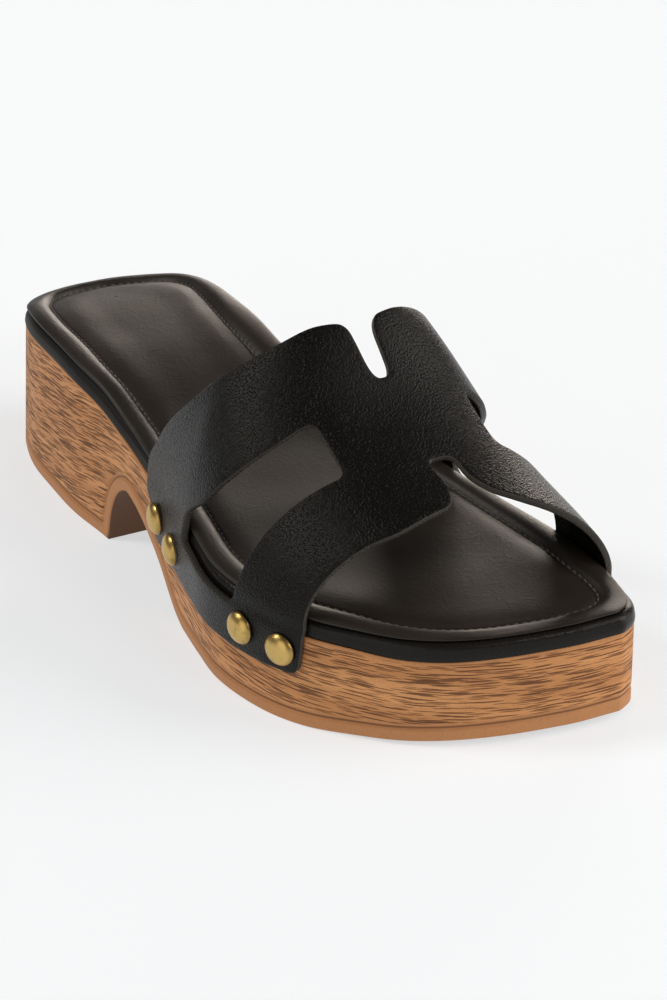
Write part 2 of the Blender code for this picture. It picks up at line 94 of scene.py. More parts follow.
LEATHER = 0.0020
INSTEP_HEIGHT = 0.105
CREST_SHIFT = 0.015
FOLD_RISE = 0.0011
LATERAL_LEAN = math.radians(9)
MEDIAL_LEAN = math.radians(3)
LATERAL_ROUNDNESS = 2.17
MEDIAL_ROUNDNESS = 2.33
BAND_DEPTH = 0.0122
CORNER = 0.0030

STUD_RADIUS = 0.0047
STUD_RISE = 0.0024
STUD_STEPS = 48

SIDES = ("lateral", "medial")


def table(names, rows):
    """A short table with named columns."""
    return dict(zip(names.split(), np.array(rows, float).T))


PLAN = table("station lateral medial", [
    (0, -0.03, 0.06), (0.003, -0.137, 0.16), (0.01, -0.228, 0.233), (0.025, -0.321, 0.328),
    (0.05, -0.394, 0.418), (0.09, -0.451, 0.473), (0.14, -0.492, 0.492), (0.2, -0.507, 0.495),
    (0.3, -0.507, 0.494), (0.36, -0.472, 0.488), (0.44, -0.425, 0.457), (0.5, -0.402, 0.457),
    (0.58, -0.387, 0.475), (0.66, -0.392, 0.48), (0.72, -0.402, 0.515), (0.78, -0.381, 0.546),
    (0.82, -0.35, 0.564), (0.86, -0.297, 0.575), (0.9, -0.209, 0.579), (0.94, -0.103, 0.576),
    (0.965, 0.005, 0.566), (0.985, 0.149, 0.539), (0.996, 0.284, 0.502), (1, 0.381, 0.474),
])

TOP = table("station rise", [
    (0, 0.53), (0.04, 0.65), (0.08, 0.8), (0.13, 0.94), (0.2, 1), (0.27, 0.98), (0.33, 0.85),
    (0.4, 0.57), (0.44, 0.44), (0.5, 0.32), (0.56, 0.24), (0.64, 0.16), (0.72, 0.05), (0.8, 0),
    (0.86, -0.02), (0.9, -0.09), (0.94, -0.16), (0.97, -0.17), (1, -0.12),
])

ARCH = table("along height", [
    (0, 0), (0.01, 0.28), (0.04, 0.58), (0.07, 0.75), (0.11, 0.88), (0.2, 1), (0.3, 0.94),
    (0.44, 0.8), (0.56, 0.65), (0.68, 0.47), (0.8, 0.24), (0.9, 0.08), (1, 0),
])

CREST = table("station share", [
    (0.46, 1.03), (0.56, 1), (0.66, 0.895), (0.74, 0.726), (0.82, 0.607), (0.9, 0.53),
    (0.96, 0.49),
])
print("sole", LENGTH, "m long,", BALL_WIDTH, "m wide at the ball")

# %% [markdown]
# ## Curves of the sole
#
# The plan of a sole turns through a half circle at heel and toe, where X as a function of Y would
# be vertical. Measuring along the shoe by an angle, as on a clock face seen from the side, keeps
# both round ends smooth. The underside is one height for every Y: flat heel, arch, flat ball, and
# a little toe spring.

# %% Helpers that every curve uses
def blend(value, low, high):
    """A smooth step from 0 to 1 between low and high: 3 t squared minus 2 t cubed."""
    share = np.clip((np.asarray(value, float) - low) / (high - low), 0.0, 1.0)
    return share * share * (3.0 - 2.0 * share)


def curve(value, places, heights):
    """A cubic in each row of a table, with slopes taken from the rows beside it."""
    slopes = np.gradient(heights, places)
    row = np.clip(np.searchsorted(places, value, side="right") - 1, 0, len(places) - 2)
    step = places[row + 1] - places[row]
    t = (value - places[row]) / step
    low = heights[row] * (1 + 2 * t) * (1 - t) ** 2 + slopes[row] * step * t * (1 - t) ** 2
    high = heights[row + 1] * t * t * (3 - 2 * t) + slopes[row + 1] * step * t * t * (t - 1)
    return low + high


def lengths_along(points):
    """Length of a line through points, from its first point to each of them."""
    return np.concatenate([[0.0], np.cumsum(np.linalg.norm(np.diff(points, axis=0), axis=1))])


def both_ways(lateral, medial):
    """One row round the shoe: down the lateral side and back up the medial one."""
    return np.concatenate([lateral, medial[::-1]])


def waves(first, second, seed, count, finest):
    """Slow unevenness of about -1 to 1: a sum of sine waves of seeded directions, none finer than
    a given length."""
    draw = np.random.default_rng(seed)
    heading = draw.uniform(0, 2 * math.pi, count)
    lengths = finest * (1 + 3 * draw.random(count))
    start = draw.uniform(0, 2 * math.pi, count)
    total = np.zeros(np.broadcast(first, second).shape)
    for angle, length, phase in zip(heading, lengths, start):
        along = first * math.cos(angle) + second * math.sin(angle)
        total += np.sin(along * 2 * math.pi / length + phase)
    return total / math.sqrt(count)


# %% Plan, top and underside of the platform
def turn(station):
    """A station as an angle from heel to toe: the arc cosine of 1 minus twice the station."""
    return np.arccos(np.clip(1.0 - 2.0 * np.asarray(station, float), -1.0, 1.0))


def place(station):
    """Y of a station."""
    return LENGTH * (0.5 - np.asarray(station, float))


def station_at(y):
    """Station of a Y."""
    return 0.5 - np.asarray(y, float) / LENGTH


def forefoot(station):
    """0 at the heel and 1 at the ball and toe."""
    return blend(station, 0.30, 0.70)


def local_width(station):
    """From the heel's width to the ball's."""
    return HEEL_WIDTH + (BALL_WIDTH - HEEL_WIDTH) * forefoot(station)


def edge_x(side, angle):
    """X of the sole's edge: a smooth share of the local width, read from the plan."""
    station = (1.0 - np.cos(angle)) / 2.0
    return curve(angle, turn(PLAN["station"]), PLAN[side]) * local_width(station)


def edge_normal(side, station):
    """Outward direction of the edge in plan: its tangent, by a small step, turned a quarter."""
    small = 0.001
    angle = np.clip(turn(station), small, math.pi - small)
    along_x = edge_x(side, angle + small) - edge_x(side, angle - small)
    along_y = -LENGTH / 2 * np.sin(angle) * 2 * small
    outward = -1.0 if side == "lateral" else 1.0
    normal = np.stack([-outward * along_y, outward * along_x], -1)
    return normal / np.linalg.norm(normal, axis=-1, keepdims=True)


def wood_top(station):
    """Height of the platform's upper face: the forefoot's plus a share of the step to the heel."""
    return FORE_HEIGHT + (HEEL_HEIGHT - FORE_HEIGHT) * curve(station, TOP["station"], TOP["rise"])


def smooth_arch():
    """The arch's table as a finer one: both columns run smoothly along the curve's own length, so
    the steep breast and the long slope are equally round."""
    run = lengths_along(np.column_stack([ARCH["along"] * ARCH_LENGTH, ARCH["height"] * ARCH_HEIGHT]))
    count = 160
    fine = np.linspace(0.0, run[-1], count)
    along = np.maximum.accumulate(curve(fine, run, ARCH["along"]))
    return along + np.arange(count) * 1e-9, np.clip(curve(fine, run, ARCH["height"]), 0.0, None)


ARCH_ALONG, ARCH_RISE = smooth_arch()


def underside(y):
    """Height of the lower face: the arch between breast and ball, plus a squared toe spring."""
    y = np.asarray(y, float)
    along = (LENGTH / 2 - HEEL_SEAT - y) / ARCH_LENGTH
    arch = ARCH_HEIGHT * np.interp(along, ARCH_ALONG, ARCH_RISE, left=0.0, right=0.0)
    spring = TOE_SPRING * np.clip((station_at(y) - SPRING_START) / SPRING_RUN, 0.0, 1.0) ** 2
    return arch + spring


def line_height(y, distance):
    """A line at one distance from the lower edge: the top of circles of that radius on it."""
    offset = np.linspace(-distance, distance, 241)[:, None]
    return np.max(underside(np.asarray(y) + offset) + np.sqrt(distance ** 2 - offset ** 2), axis=0)


def wall_lean(station, height):
    """How far the wall has moved inwards from the ground up to a height."""
    flare = FORE_FLARE + (HEEL_FLARE - FORE_FLARE) * (1.0 - forefoot(station))
    return flare * np.clip(height / wood_top(station), 0.0, 1.0)


def wall_points(side, station, height, out=0.0):
    """Points on the wall: the plan's edge, moved along its outward direction."""
    plan = np.stack([edge_x(side, turn(station)), place(station)], -1)
    plan = plan + edge_normal(side, station) * (out - wall_lean(station, height))[..., None]
    return np.column_stack([plan, height])


# %% Where the CAD model stands
def shoe_shift():
    """The curves above have the heel's axis at X = 0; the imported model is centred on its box."""
    station = (1 - np.cos(np.linspace(0, math.pi, 4001))) / 2
    ground = underside(place(station))
    left = wall_points("lateral", station, ground)[:, 0].min()
    right = wall_points("medial", station, ground)[:, 0].max()
    low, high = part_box("platform")
    return (low.x + high.x - left - right) / 2


SHIFT = shoe_shift()
print("heel axis at x =", round(SHIFT, 5))

# %% [markdown]
# ## Putting a surface into a mesh
#
# Most shapes below are a grid of points: rows are levels or rings, columns run along it. Two helpers
# turn such a grid into faces and a mesh, with whole arrays, and store maps of lengths beside it.
# Blender's own primitives would need bending afterwards, and a loop over vertices is slow.

# %% From arrays to an object
def grid_faces(rows, columns, closed):
    """Corner numbers of the grid's quads; a closed grid joins its last column to its first."""
    row, column = np.meshgrid(np.arange(rows - 1), np.arange(columns - (not closed)), indexing="ij")
    after = (column + 1) % columns
    low = row * columns
    high = low + columns
    return np.stack([low + column, low + after, high + after, high + column], -1).reshape(-1, 4)


def ladder(start, count):
    """Quads across the inside of one ring, from its first and last points to its middle."""
    left = np.arange(count // 2 - 1)
    right = count - 1 - left
    return start + np.stack([left, right, right - 1, left + 1], -1)


# Faces that meet at a smaller angle, in degrees, are shaded as one
SOLE_ANGLE = 40
CUT_ANGLE = 50
SOFT_ANGLE = 60


def add_piece(name, points, faces, material, smooth_angle, maps=None):
    """A mesh object from arrays. Maps are named pairs of numbers, given at each face corner."""
    mesh = bpy.data.meshes.new(name)
    points = np.asarray(points, np.float32) + np.array([SHIFT, 0, 0], np.float32)
    sides = faces.shape[1]
    mesh.vertices.add(len(points))
    mesh.vertices.foreach_set("co", points.ravel())
    mesh.loops.add(faces.size)
    mesh.loops.foreach_set("vertex_index", faces.astype(np.int32).ravel())
    mesh.polygons.add(len(faces))
    mesh.polygons.foreach_set("loop_start", (np.arange(len(faces)) * sides).astype(np.int32))
    mesh.polygons.foreach_set("loop_total", np.full(len(faces), sides, np.int32))
    mesh.update(calc_edges=True)
    for label, pairs in (maps or {}).items():
        layer = mesh.uv_layers.new(name=label)
        layer.data.foreach_set("uv", np.asarray(pairs, np.float32).ravel())
    mesh.materials.append(material)
    mesh.shade_smooth()
    mesh.set_sharp_from_angle(angle=math.radians(smooth_angle))
    piece = bpy.data.objects.new(name, mesh)
    bpy.context.scene.collection.objects.link(piece)
    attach(piece, "root")
    print(name, len(points), "points,", len(faces), "faces")
    return piece


# %% [markdown]
# ## Shader maths
#
# A Blender material is a sheet of nodes. Written node by node, even "one minus the mask" takes
# three lines, so a small class wraps a socket and lets Python's own operators add the Math nodes.
# Everything else goes through one method that takes the node's type, its settings and its inputs.

# %% Sockets that can be added and multiplied
class Value:
    """A socket in a finish; an expression on values adds its Math nodes."""

    def __init__(self, finish, socket):
        self.finish = finish
        self.socket = socket

    def maths(self, operation, first, second=0.0):
        """One Math node; either side may be a number or a value."""
        return self.finish.node("ShaderNodeMath", {"operation": operation}, {0: first, 1: second})

    def __add__(self, other):
        return self.maths("ADD", self, other)

    def __sub__(self, other):
        return self.maths("SUBTRACT", self, other)

    def __rsub__(self, other):
        return self.maths("SUBTRACT", other, self)

    def __mul__(self, other):
        return self.maths("MULTIPLY", self, other)

    def __abs__(self):
        return self.maths("ABSOLUTE", self)

    __radd__ = __add__
    __rmul__ = __mul__


class Finish:
    """One material and the nodes that vary it over the surface."""

    def __init__(self, name, **constants):
        self.material = bpy.data.materials.new(name)
        self.material.use_nodes = True
        self.tree = self.material.node_tree
        self.shader = self.tree.nodes["Principled BSDF"]
        for label, value in constants.items():
            self.shader.inputs[label.replace("_", " ")].default_value = value

    def feed(self, socket, value):
        if isinstance(value, Value):
            self.tree.links.new(value.socket, socket)
        else:
            socket.default_value = value

    def node(self, kind, settings=None, inputs=None, output=0):
        """Any node: its settings are set first, then each input is fed a number or a link."""
        made = self.tree.nodes.new(kind)
        for label, value in (settings or {}).items():
            setattr(made, label, value)
        for label, value in (inputs or {}).items():
            self.feed(made.inputs[label], value)
        return Value(self, made.outputs[output])

    def step(self, value, low, high):
        """0 below low, 1 above high, and smooth between."""
        inputs = {"Value": value, "From Min": low, "From Max": high}
        return self.node("ShaderNodeMapRange", {"interpolation_type": "SMOOTHSTEP"}, inputs)

    def mix(self, share, first, second):
        """One colour into another."""
        made = self.tree.nodes.new("ShaderNodeMix")
        made.data_type = "RGBA"
        for label, value in (("Factor_Float", share), ("A_Color", first), ("B_Color", second)):
            socket = next(s for s in made.inputs if s.identifier == label)
            self.feed(socket, (*value, 1.0) if isinstance(value, tuple) else value)
        return Value(self, next(s for s in made.outputs if s.identifier == "Result_Color"))

    def place(self):
        """Where the point lies in the shoe, in metres."""
        return self.node("ShaderNodeTexCoord", output="Object")

    def map(self, label):
        """One of the piece's own maps, as its two values."""
        pair = self.node("ShaderNodeUVMap", {"uv_map": label}, output="UV")
        made = self.tree.nodes.new("ShaderNodeSeparateXYZ")
        self.feed(made.inputs[0], pair)
        return Value(self, made.outputs["X"]), Value(self, made.outputs["Y"])

    def spot(self, x, y):
        """Two values as the place that a pattern is read at."""
        return self.node("ShaderNodeCombineXYZ", inputs={0: x, 1: y})

    def noise(self, where, scale, detail=2.0, roughness=0.5, distortion=0.0):
        """Cloudy unevenness round one half; the scale says how many lumps there are to a metre."""
        inputs = {"Vector": where, "Scale": scale, "Detail": detail, "Roughness": roughness,
                  "Distortion": distortion}
        return self.node("ShaderNodeTexNoise", inputs=inputs)

    def cells(self, where, scale):
        """Distance to the nearest grain of a scatter, as in pebbled leather."""
        inputs = {"Vector": where, "Scale": scale}
        return self.node("ShaderNodeTexVoronoi", inputs=inputs, output="Distance")

    def done(self, colour, roughness, height, depth):
        """The material with its colour, its roughness and a bump: a height of about 0 to 1, and the
        depth in metres that it stands for."""
        inputs = {"Height": height, "Distance": depth}
        bump = self.node("ShaderNodeBump", inputs=inputs, output="Normal")
        for label, value in (("Base Color", colour), ("Roughness", roughness), ("Normal", bump)):
            self.feed(self.shader.inputs[label], value)
        return self.material


# %% [markdown]
# ## Wood look
#
# The platform is moulded, and its printed face imitates wood: short dark pores run along the shoe,
# with a plain border above and a plain rim below the moulded line. Real timber would show end grain
# at the toe, and the photo doesn't, so the pattern follows a map of lengths round the wall instead
# of a block of solid wood. A scatter of dots, stretched by more than twenty to one, gives pores.

# %% Finish of the platform
WOOD_LIGHT = (0.640, 0.305, 0.118)
WOOD_WARM = (0.480, 0.210, 0.074)
WOOD_PORE = (0.090, 0.032, 0.013)
WOOD_RIM = (0.460, 0.210, 0.083)
WOOD_LINE = (0.085, 0.034, 0.015)
# Painted shade: a darker brown for the underside, seen only inside the arch, in place of the shade
# there
WOOD_PAINTED_SHADE = (0.120, 0.056, 0.027)

# What the map of lines says where there is no wall: on the underside and on the bed
NO_LINE = -0.02


def wood_finish():
    """Pores are the middles of scattered cells, stretched along the shoe; the numbers beside along
    and across say how many there are to a metre. The moulded line is dark within half a millimetre
    of its height, both borders stay plain, and the underside is painted darker brown as painted
    shade for the arch."""
    finish = Finish("wood_look", Specular_IOR_Level=0.28)
    along, across = finish.map("grain")
    rise, border = finish.map("lines")
    sway = finish.noise(finish.spot(along * 60, across * 90), 1.0, 1.0)
    across = across + sway * 0.0009
    wide = finish.noise(finish.spot(along * 9, across * 140), 1.0, 2.0)
    fibre = finish.noise(finish.spot(along * 110, across * 3200), 1.0, 2.0)
    long_pore = finish.cells(finish.spot(along * 78, across * 1950), 1.0)
    short_pore = finish.cells(finish.spot(along * 120 + 7.3, across * 2500), 1.0)
    pore = 1 - finish.step(long_pore, 0.32, 0.42)
    fleck = 1 - finish.step(short_pore, 0.30, 0.40)
    printed = finish.step(rise, 0.0009, 0.0016) * finish.step(border, 0.0003, 0.0012)
    marks = pore.maths("MAXIMUM", pore, fleck * 0.8) * printed
    tone = finish.mix(finish.step(wide, 0.36, 0.64), WOOD_WARM, WOOD_LIGHT)
    tone = finish.mix(finish.step(fibre, 0.35, 0.75) * 0.38 * printed, tone, WOOD_WARM)
    tone = finish.mix(printed, WOOD_RIM, tone)
    tone = finish.mix(marks * 0.88, tone, WOOD_PORE)
    speck = finish.noise(finish.place(), 2600, 1.0)
    tone = finish.mix(finish.step(speck, 0.52, 0.8) * 0.26, tone, WOOD_PORE)
    groove = 1 - finish.step(abs(rise), 0.00012, 0.00045)
    tone = finish.mix(groove * 0.7, tone, WOOD_LINE)
    # Painted shade: both caps, of which only the underside in the arch is seen, take the darker brown
    tone = finish.mix(finish.step(rise, NO_LINE + 0.002, NO_LINE + 0.008), WOOD_PAINTED_SHADE, tone)
    return finish.done(tone, 0.50 + marks * 0.16 + speck * 0.10, speck * 0.25 - marks, 0.00009)


wood_look = wood_finish()
print("wood_look", len(wood_look.node_tree.nodes), "nodes")

# %% [markdown]
# ## Black leathers
#
# Three blacks are told apart by their surface, not by their colour. The vamp has a fine pebble
# grain that breaks the light into specks. The footbed is a smoother, softer leather with fine
# creases. The wrap round the board is pulled tight and shines most. Grain that follows places in
# the shoe, not a map, keeps its size where the leather bends.

# %% Finishes of the leathers and the thread
# Grains to a metre
VAMP_PEBBLES = 1850
WRAP_GRAINS = 2200


def clouded(finish, cloud, dark, light):
    """Slow clouds between two tones of one leather."""
    return finish.mix(finish.step(cloud, 0.3, 0.7), dark, light)


def vamp_finish(name, tint):
    """Pebbles of half a millimetre, each falling by its squared distance from a scattered middle."""
    finish = Finish(name, Specular_IOR_Level=0.17)
    spot = finish.place()
    apart = finish.cells(spot, VAMP_PEBBLES)
    pebble = 1 - apart * apart * 1.6
    cloud = finish.noise(spot, 45, 2.0)
    tone = clouded(finish, cloud, tint, tuple(c * 1.3 for c in tint))
    return finish.done(tone, 0.32 + cloud * 0.06 - pebble * 0.14, pebble, 0.00010)


def footbed_finish():
    """Smooth leather: clouds in tone and gloss, creases where a warped noise crosses one half."""
    finish = Finish("footbed_leather", Specular_IOR_Level=0.30)
    spot = finish.place()
    cloud = finish.noise(spot, 38, 2.5)
    crease = finish.noise(spot, 260, 3.0, 0.6, 1.2)
    fine = finish.noise(spot, 3200, 2.0)
    tone = clouded(finish, cloud, (0.0150, 0.0112, 0.0084), (0.0220, 0.0165, 0.0125))
    height = fine * 0.3 + abs(crease - 0.5) * 1.2
    return finish.done(tone, 0.36 + cloud * 0.12 + fine * 0.08, height, 0.00012)


def wrap_finish():
    """Tight leather with a low, fine grain, glossy at the toe and duller behind."""
    finish = Finish("wrap_leather", Specular_IOR_Level=0.16)
    spot = finish.place()
    y = finish.node("ShaderNodeSeparateXYZ", inputs={0: spot}, output="Y")
    behind = finish.step(y, -0.07, 0.02)
    cloud = finish.noise(spot, 80, 2.0)
    grain = finish.cells(spot, WRAP_GRAINS)
    tone = finish.mix(cloud, (0.0062, 0.0050, 0.0041), (0.0092, 0.0076, 0.0062))
    return finish.done(tone, 0.20 + cloud * 0.06 + grain * 0.10 + behind * 0.30, grain, 0.00005)


def thread_finish():
    finish = Finish("waxed_thread", Specular_IOR_Level=0.3)
    twist = finish.noise(finish.place(), 2500, 1.0)
    tone = finish.mix(twist, (0.030, 0.027, 0.024), (0.130, 0.119, 0.106))
    return finish.done(tone, 0.6, twist, 0.00010)


vamp_leather = vamp_finish("vamp_leather", (0.0040, 0.0034, 0.0028))
vamp_edge = vamp_finish("vamp_cut_edge", (0.0450, 0.0400, 0.0350))
footbed_leather = footbed_finish()
wrap_leather = wrap_finish()
thread = thread_finish()
print("four leathers and a thread")

# %% [markdown]
# ## Antique brass
#
# The stud heads are satin brass, darkened in patches and round the rim, where polishing doesn't
# reach. A plain yellow metal would look like plastic, so slow noise varies both colour and gloss.

# %% Finish of the studs
BRASS_BRIGHT = (0.56, 0.385, 0.130)
BRASS_DULL = (0.215, 0.135, 0.042)


def brass_finish():
    """Dull in patches of slow noise, and towards the rim, by the radius in the head's own map."""
    finish = Finish("antique_brass", Metallic=1.0)
    spot = finish.place()
    patch = finish.noise(spot, 420, 3.0)
    fine = finish.noise(spot, 3500, 2.0)
    radius, _ = finish.map("turned")
    worn = finish.step(radius, STUD_RADIUS * 0.74, STUD_RADIUS)
    dark = finish.step(patch, 0.50, 0.78) * 0.45 + worn * 0.55
    tone = finish.mix(dark, BRASS_BRIGHT, BRASS_DULL)
    return finish.done(tone, 0.22 + patch * 0.14 + fine * 0.06, fine * 0.5 + patch * 0.5, 0.00006)


antique_brass = brass_finish()
print("antique_brass")

# %% [markdown]
# ## The platform
#
# A moulded unit sole is one wall carried round the plan, closed by a flat bed above and the arched
# underside below. Rings of points at each level make the wall: their heights follow the underside,
# then the moulded line, then the top. Cutting the arch with a boolean would leave ragged
# triangles; here the rings themselves dip up into the arch.

# %% Stations that crowd where the sole bends
def close_stations():
    """Even steps of the heel-to-toe angle, plus extra ones round the breast and along the arch."""
    even = (1 - np.cos(np.linspace(0, math.pi, 231))) / 2
    breast = HEEL_SEAT / LENGTH
    before = breast - RIM_HEIGHT / LENGTH * np.linspace(0, 1.5, 22)
    arch = breast + ARCH_LENGTH / LENGTH * ARCH_ALONG[::2]
    every = np.unique(np.round(np.concatenate([even, before, arch]), 7))
    return every[np.concatenate([[True], np.diff(every) > 0.00008])]


# %% The wall, its moulded line and its eased edges
EASE = 0.0005


def platform_levels(station):
    """Rows of (height, outward offset): an eased lower edge, the rim, a groove shaped as half a
    cosine wave, the printed wall and an eased upper edge."""
    y = place(station)
    ground = underside(y)
    top = wood_top(station)
    lip = line_height(y, RIM_HEIGHT + LINE_WIDTH)
    rows = [(ground + EASE * (1 - math.cos(a)), np.full_like(y, -EASE * (1 - math.sin(a))))
            for a in np.linspace(0, math.pi / 2, 4)]
    first = line_height(y, RIM_HEIGHT - LINE_WIDTH)
    low = ground + EASE
    rows += [(low + (first - low) * t, np.zeros_like(y)) for t in (0.33, 0.66)]
    for t in np.linspace(-1, 1, 13):
        depth = LINE_DEPTH * (1 + math.cos(math.pi * t)) / 2
        rows.append((line_height(y, RIM_HEIGHT + t * LINE_WIDTH), np.full_like(y, -depth)))
    rows += [(lip + (top - EASE - lip) * t, np.zeros_like(y)) for t in np.linspace(0.125, 1, 8)]
    rows += [(top - EASE * (1 - math.sin(a)), np.full_like(y, -EASE * (1 - math.cos(a))))
             for a in np.linspace(0, math.pi / 2, 4)[1:]]
    return rows


# Degrees by which the pores climb along the shoe
GRAIN_SLOPE = table("station lateral medial", [
    (0, 7, 7), (0.32, 7, 7), (0.48, -2, -2), (0.7, -3, -2), (0.88, -6, 1), (1, -4, 1),
])


def grain_rise(station, side):
    """Height that the printed pores have climbed at a station: a sum of slopes along the shoe,
    7 degrees up at the heel, then level, and a little down round the outer toe. Both sides start
    and end at one height, so that the pores run on round heel and toe."""
    steps = 500
    fine = np.linspace(0, 1, steps + 1)

    def climb(degrees):
        slope = np.interp(fine, GRAIN_SLOPE["station"], GRAIN_SLOPE[degrees])
        return np.cumsum(np.tan(np.radians(slope))) * LENGTH / steps

    outer = climb("lateral")
    inner = climb("medial")
    if side == "lateral":
        return np.interp(station, fine, outer)
    return np.interp(station, fine, inner + (outer[-1] - inner[-1]) * blend(fine, 0.40, 0.75))


def build_platform():
    """Rings of the wall at every level, closed by ladders. At each face corner, one map gives the
    way round the wall and the height over the climbing pores, and the other the heights over the
    moulded line and under the bed."""
    station = close_stations()
    y = place(station)
    rings = []
    heights = []
    for height, out in platform_levels(station):
        rings.append(both_ways(*(wall_points(side, station, height, out) for side in SIDES)))
        heights.append(both_ways(height, height))
    points = np.concatenate(rings)
    columns = 2 * len(station)
    wall = grid_faces(len(rings), columns, True)
    base = both_ways(*(wall_points(side, station, y * 0) for side in SIDES))
    walk = lengths_along(np.concatenate([base, base[:1]]))
    climb = both_ways(*(grain_rise(station, side) for side in SIDES))
    height = np.array(heights)
    mould = line_height(y, RIM_HEIGHT)
    line = both_ways(mould, mould)
    bed = both_ways(wood_top(station), wood_top(station))
    column = np.stack([wall[:, 0] % columns, wall[:, 1] % columns], -1)[:, [0, 1, 1, 0]]
    level = np.stack([wall[:, 0] // columns, wall[:, 3] // columns], -1)[:, [0, 0, 1, 1]]
    ahead = np.where((column == 0) & (np.arange(4) % 3 != 0), columns, column)
    across = height[level, column]
    grain = np.stack([walk[ahead], across - climb[column]], -1)
    lines = np.stack([across - line[column], bed[column] - across], -1)
    under = ladder(0, columns)
    over = ladder((len(rings) - 1) * columns, columns)[:, ::-1]
    caps = np.concatenate([under, over])
    flat = points[caps][..., :2]
    plain = np.full(flat.shape, NO_LINE)
    faces = np.concatenate([wall, caps])
    maps = {"grain": np.concatenate([grain, flat]), "lines": np.concatenate([lines, plain])}
    piece = add_piece("platform_unit", points, faces, wood_look, SOLE_ANGLE, maps)
    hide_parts("platform")
    return piece


platform_unit = build_platform()

# %% [markdown]
# ## The loop that the layers share
#
# Board, cushion and stitches all follow the upper edge of the wood, drawn in by some distance. One
# closed loop of evenly spaced points carries everything they need: side, station, place and
# outward direction. Drawing a loop in is a scaling towards the foot's middle line, so the rings
# never cross each other at heel and toe, as true offsets would.

# %% An evenly spaced loop round the wood's upper edge
def shoe_loop(count):
    """Points round the plan at equal lengths, from the middle of the heel down the lateral side."""
    samples = 3001
    angle = np.linspace(0, math.pi, samples)
    station = (1 - np.cos(angle)) / 2
    x = both_ways(*(edge_x(side, angle) for side in SIDES))
    run = both_ways(station, station)
    normal = both_ways(*(edge_normal(side, station) for side in SIDES))
    side = np.repeat([-1.0, 1.0], samples)
    start = (x[0] + x[-1]) / 2
    x = np.concatenate([[start], x, [start]])
    run = np.concatenate([[0], run, [0]])
    side = np.concatenate([[-1.0], side, [1.0]])
    normal = np.concatenate([[(0, 1)], normal, [(0, 1)]])
    walk = lengths_along(np.column_stack([x, place(run)]))
    here = np.linspace(0, walk[-1], count, endpoint=False) + walk[-1] / count / 2
    loop = {"walk": here, "around": walk[-1]}
    edge = {"x": x, "y": place(run), "side": side, "nx": normal[:, 0], "ny": normal[:, 1]}
    for label, values in edge.items():
        loop[label] = np.interp(here, walk, values)
    loop["station"] = station_at(loop["y"])
    lean = wall_lean(loop["station"], wood_top(loop["station"]))
    loop["x"] = loop["x"] - loop["nx"] * lean
    loop["y"] = loop["y"] - loop["ny"] * lean
    return loop


def drawn_in(loop, inset, rise):
    """The loop scaled towards the middle line by an inset, at a rise above the wood."""
    middle = BALL_SHIFT * forefoot(loop["station"])
    x = middle + (loop["x"] - middle) * (1.0 - inset / (local_width(loop["station"]) / 2))
    y = loop["y"] * (1.0 - inset / (LENGTH / 2))
    return np.stack([x, y, wood_top(station_at(y)) + rise], -1)


# Stations between which the toe comes free of the vamp
TOE_FREE = (0.91, 0.97)


def let_out(loop, heel, toe, behind):
    """How far a layer's edge is let out: by one length at the heel, behind a station, and by
    another at the toe, where no strap passes it."""
    station = loop["station"]
    return heel * (1.0 - blend(station, behind, behind + 0.12)) + toe * blend(station, *TOE_FREE)


def lip(loop):
    """Height of the board's wrapped lip, which rises in front of the vamp."""
    return BOARD_LIP * blend(loop["station"], 0.87, 0.94)


def build_layer(name, loop, rings, material, node):
    """A closed piece through rings, capped by ladders of faces across the first and the last."""
    count = len(loop["walk"])
    under = ladder(0, count)
    over = ladder((len(rings) - 1) * count, count)[:, ::-1]
    faces = np.concatenate([grid_faces(len(rings), count, True), under, over])
    piece = add_piece(name, np.concatenate(rings), faces, material, SOFT_ANGLE)
    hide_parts(node)
    return piece


# %% [markdown]
# ## The wrapped board
#
# Between wood and cushion lies a stiff board wrapped in glossy black leather. Its edge stands flush
# with the wood and is rounded above, where a thin line of light runs along it. The wrap is never
# quite even, so its face swells and sinks by a tenth of a millimetre.

# %% Build the board
WRAP_RISE = 0.0004
WRAP_SWELL = 0.00018
WRAP_UNEVEN = 0.00005
SHOULDER = 0.0022
SHOULDER_FLAT = 0.0004
BOARD_FOOT = 0.00005
BOARD_COLUMNS = 900


def wrap_rise(loop):
    """Height of the wrapped edge above the board's flat top."""
    return WRAP_RISE + (BOARD_LIP - WRAP_RISE) / BOARD_LIP * lip(loop)


def build_board():
    """Rings up the face, which bellies out by a half sine, round the shoulder by an arc, and down
    the lip's slope under the cushion."""
    loop = shoe_loop(BOARD_COLUMNS)
    start = BOARD_INSET - let_out(loop, heel=BOARD_INSET, toe=BOARD_INSET, behind=0.34)
    uneven = waves(loop["x"], loop["y"], seed=5, count=9, finest=0.014) * WRAP_UNEVEN
    low = BOARD_FOOT
    high = CLEARANCE + BOARD_THICKNESS
    edge = high + wrap_rise(loop)
    rings = [drawn_in(loop, start + BOARD_INSET, low)]
    for share in np.linspace(0, 1, 7):
        swell = (WRAP_SWELL + uneven) * math.sin(math.pi * share)
        rings.append(drawn_in(loop, start - swell, low + (edge - SHOULDER - low) * share))
    for angle in np.linspace(0, math.pi / 2, 11)[1:]:
        inset = start + SHOULDER * (1 - math.cos(angle))
        rings.append(drawn_in(loop, inset, edge - SHOULDER * (1 - math.sin(angle))))
    for share in (0.0, 0.35, 0.7, 1.0):
        inset = start + SHOULDER + SHOULDER_FLAT + LIP_SLOPE * share
        rings.append(drawn_in(loop, inset, edge + (high - edge) * blend(share, 0, 1)))
    return build_layer("board_wrap", loop, rings, wrap_leather, "insole_board")


board_wrap = build_board()

# %% [markdown]
# ## The padded footbed
#
# The cushion is foam under leather. A round roll runs along its rim, a row of stitches pulls it
# down into a valley, and the panel inside swells up again and dips a little in the middle.
# A cloth simulation could inflate such a pad, but its remesh would wipe out the 2 mm roll and the
# valley, so the same swelling is written as a height over the distance from the rim, with puckers
# between the stitches and slow unevenness as foam has.

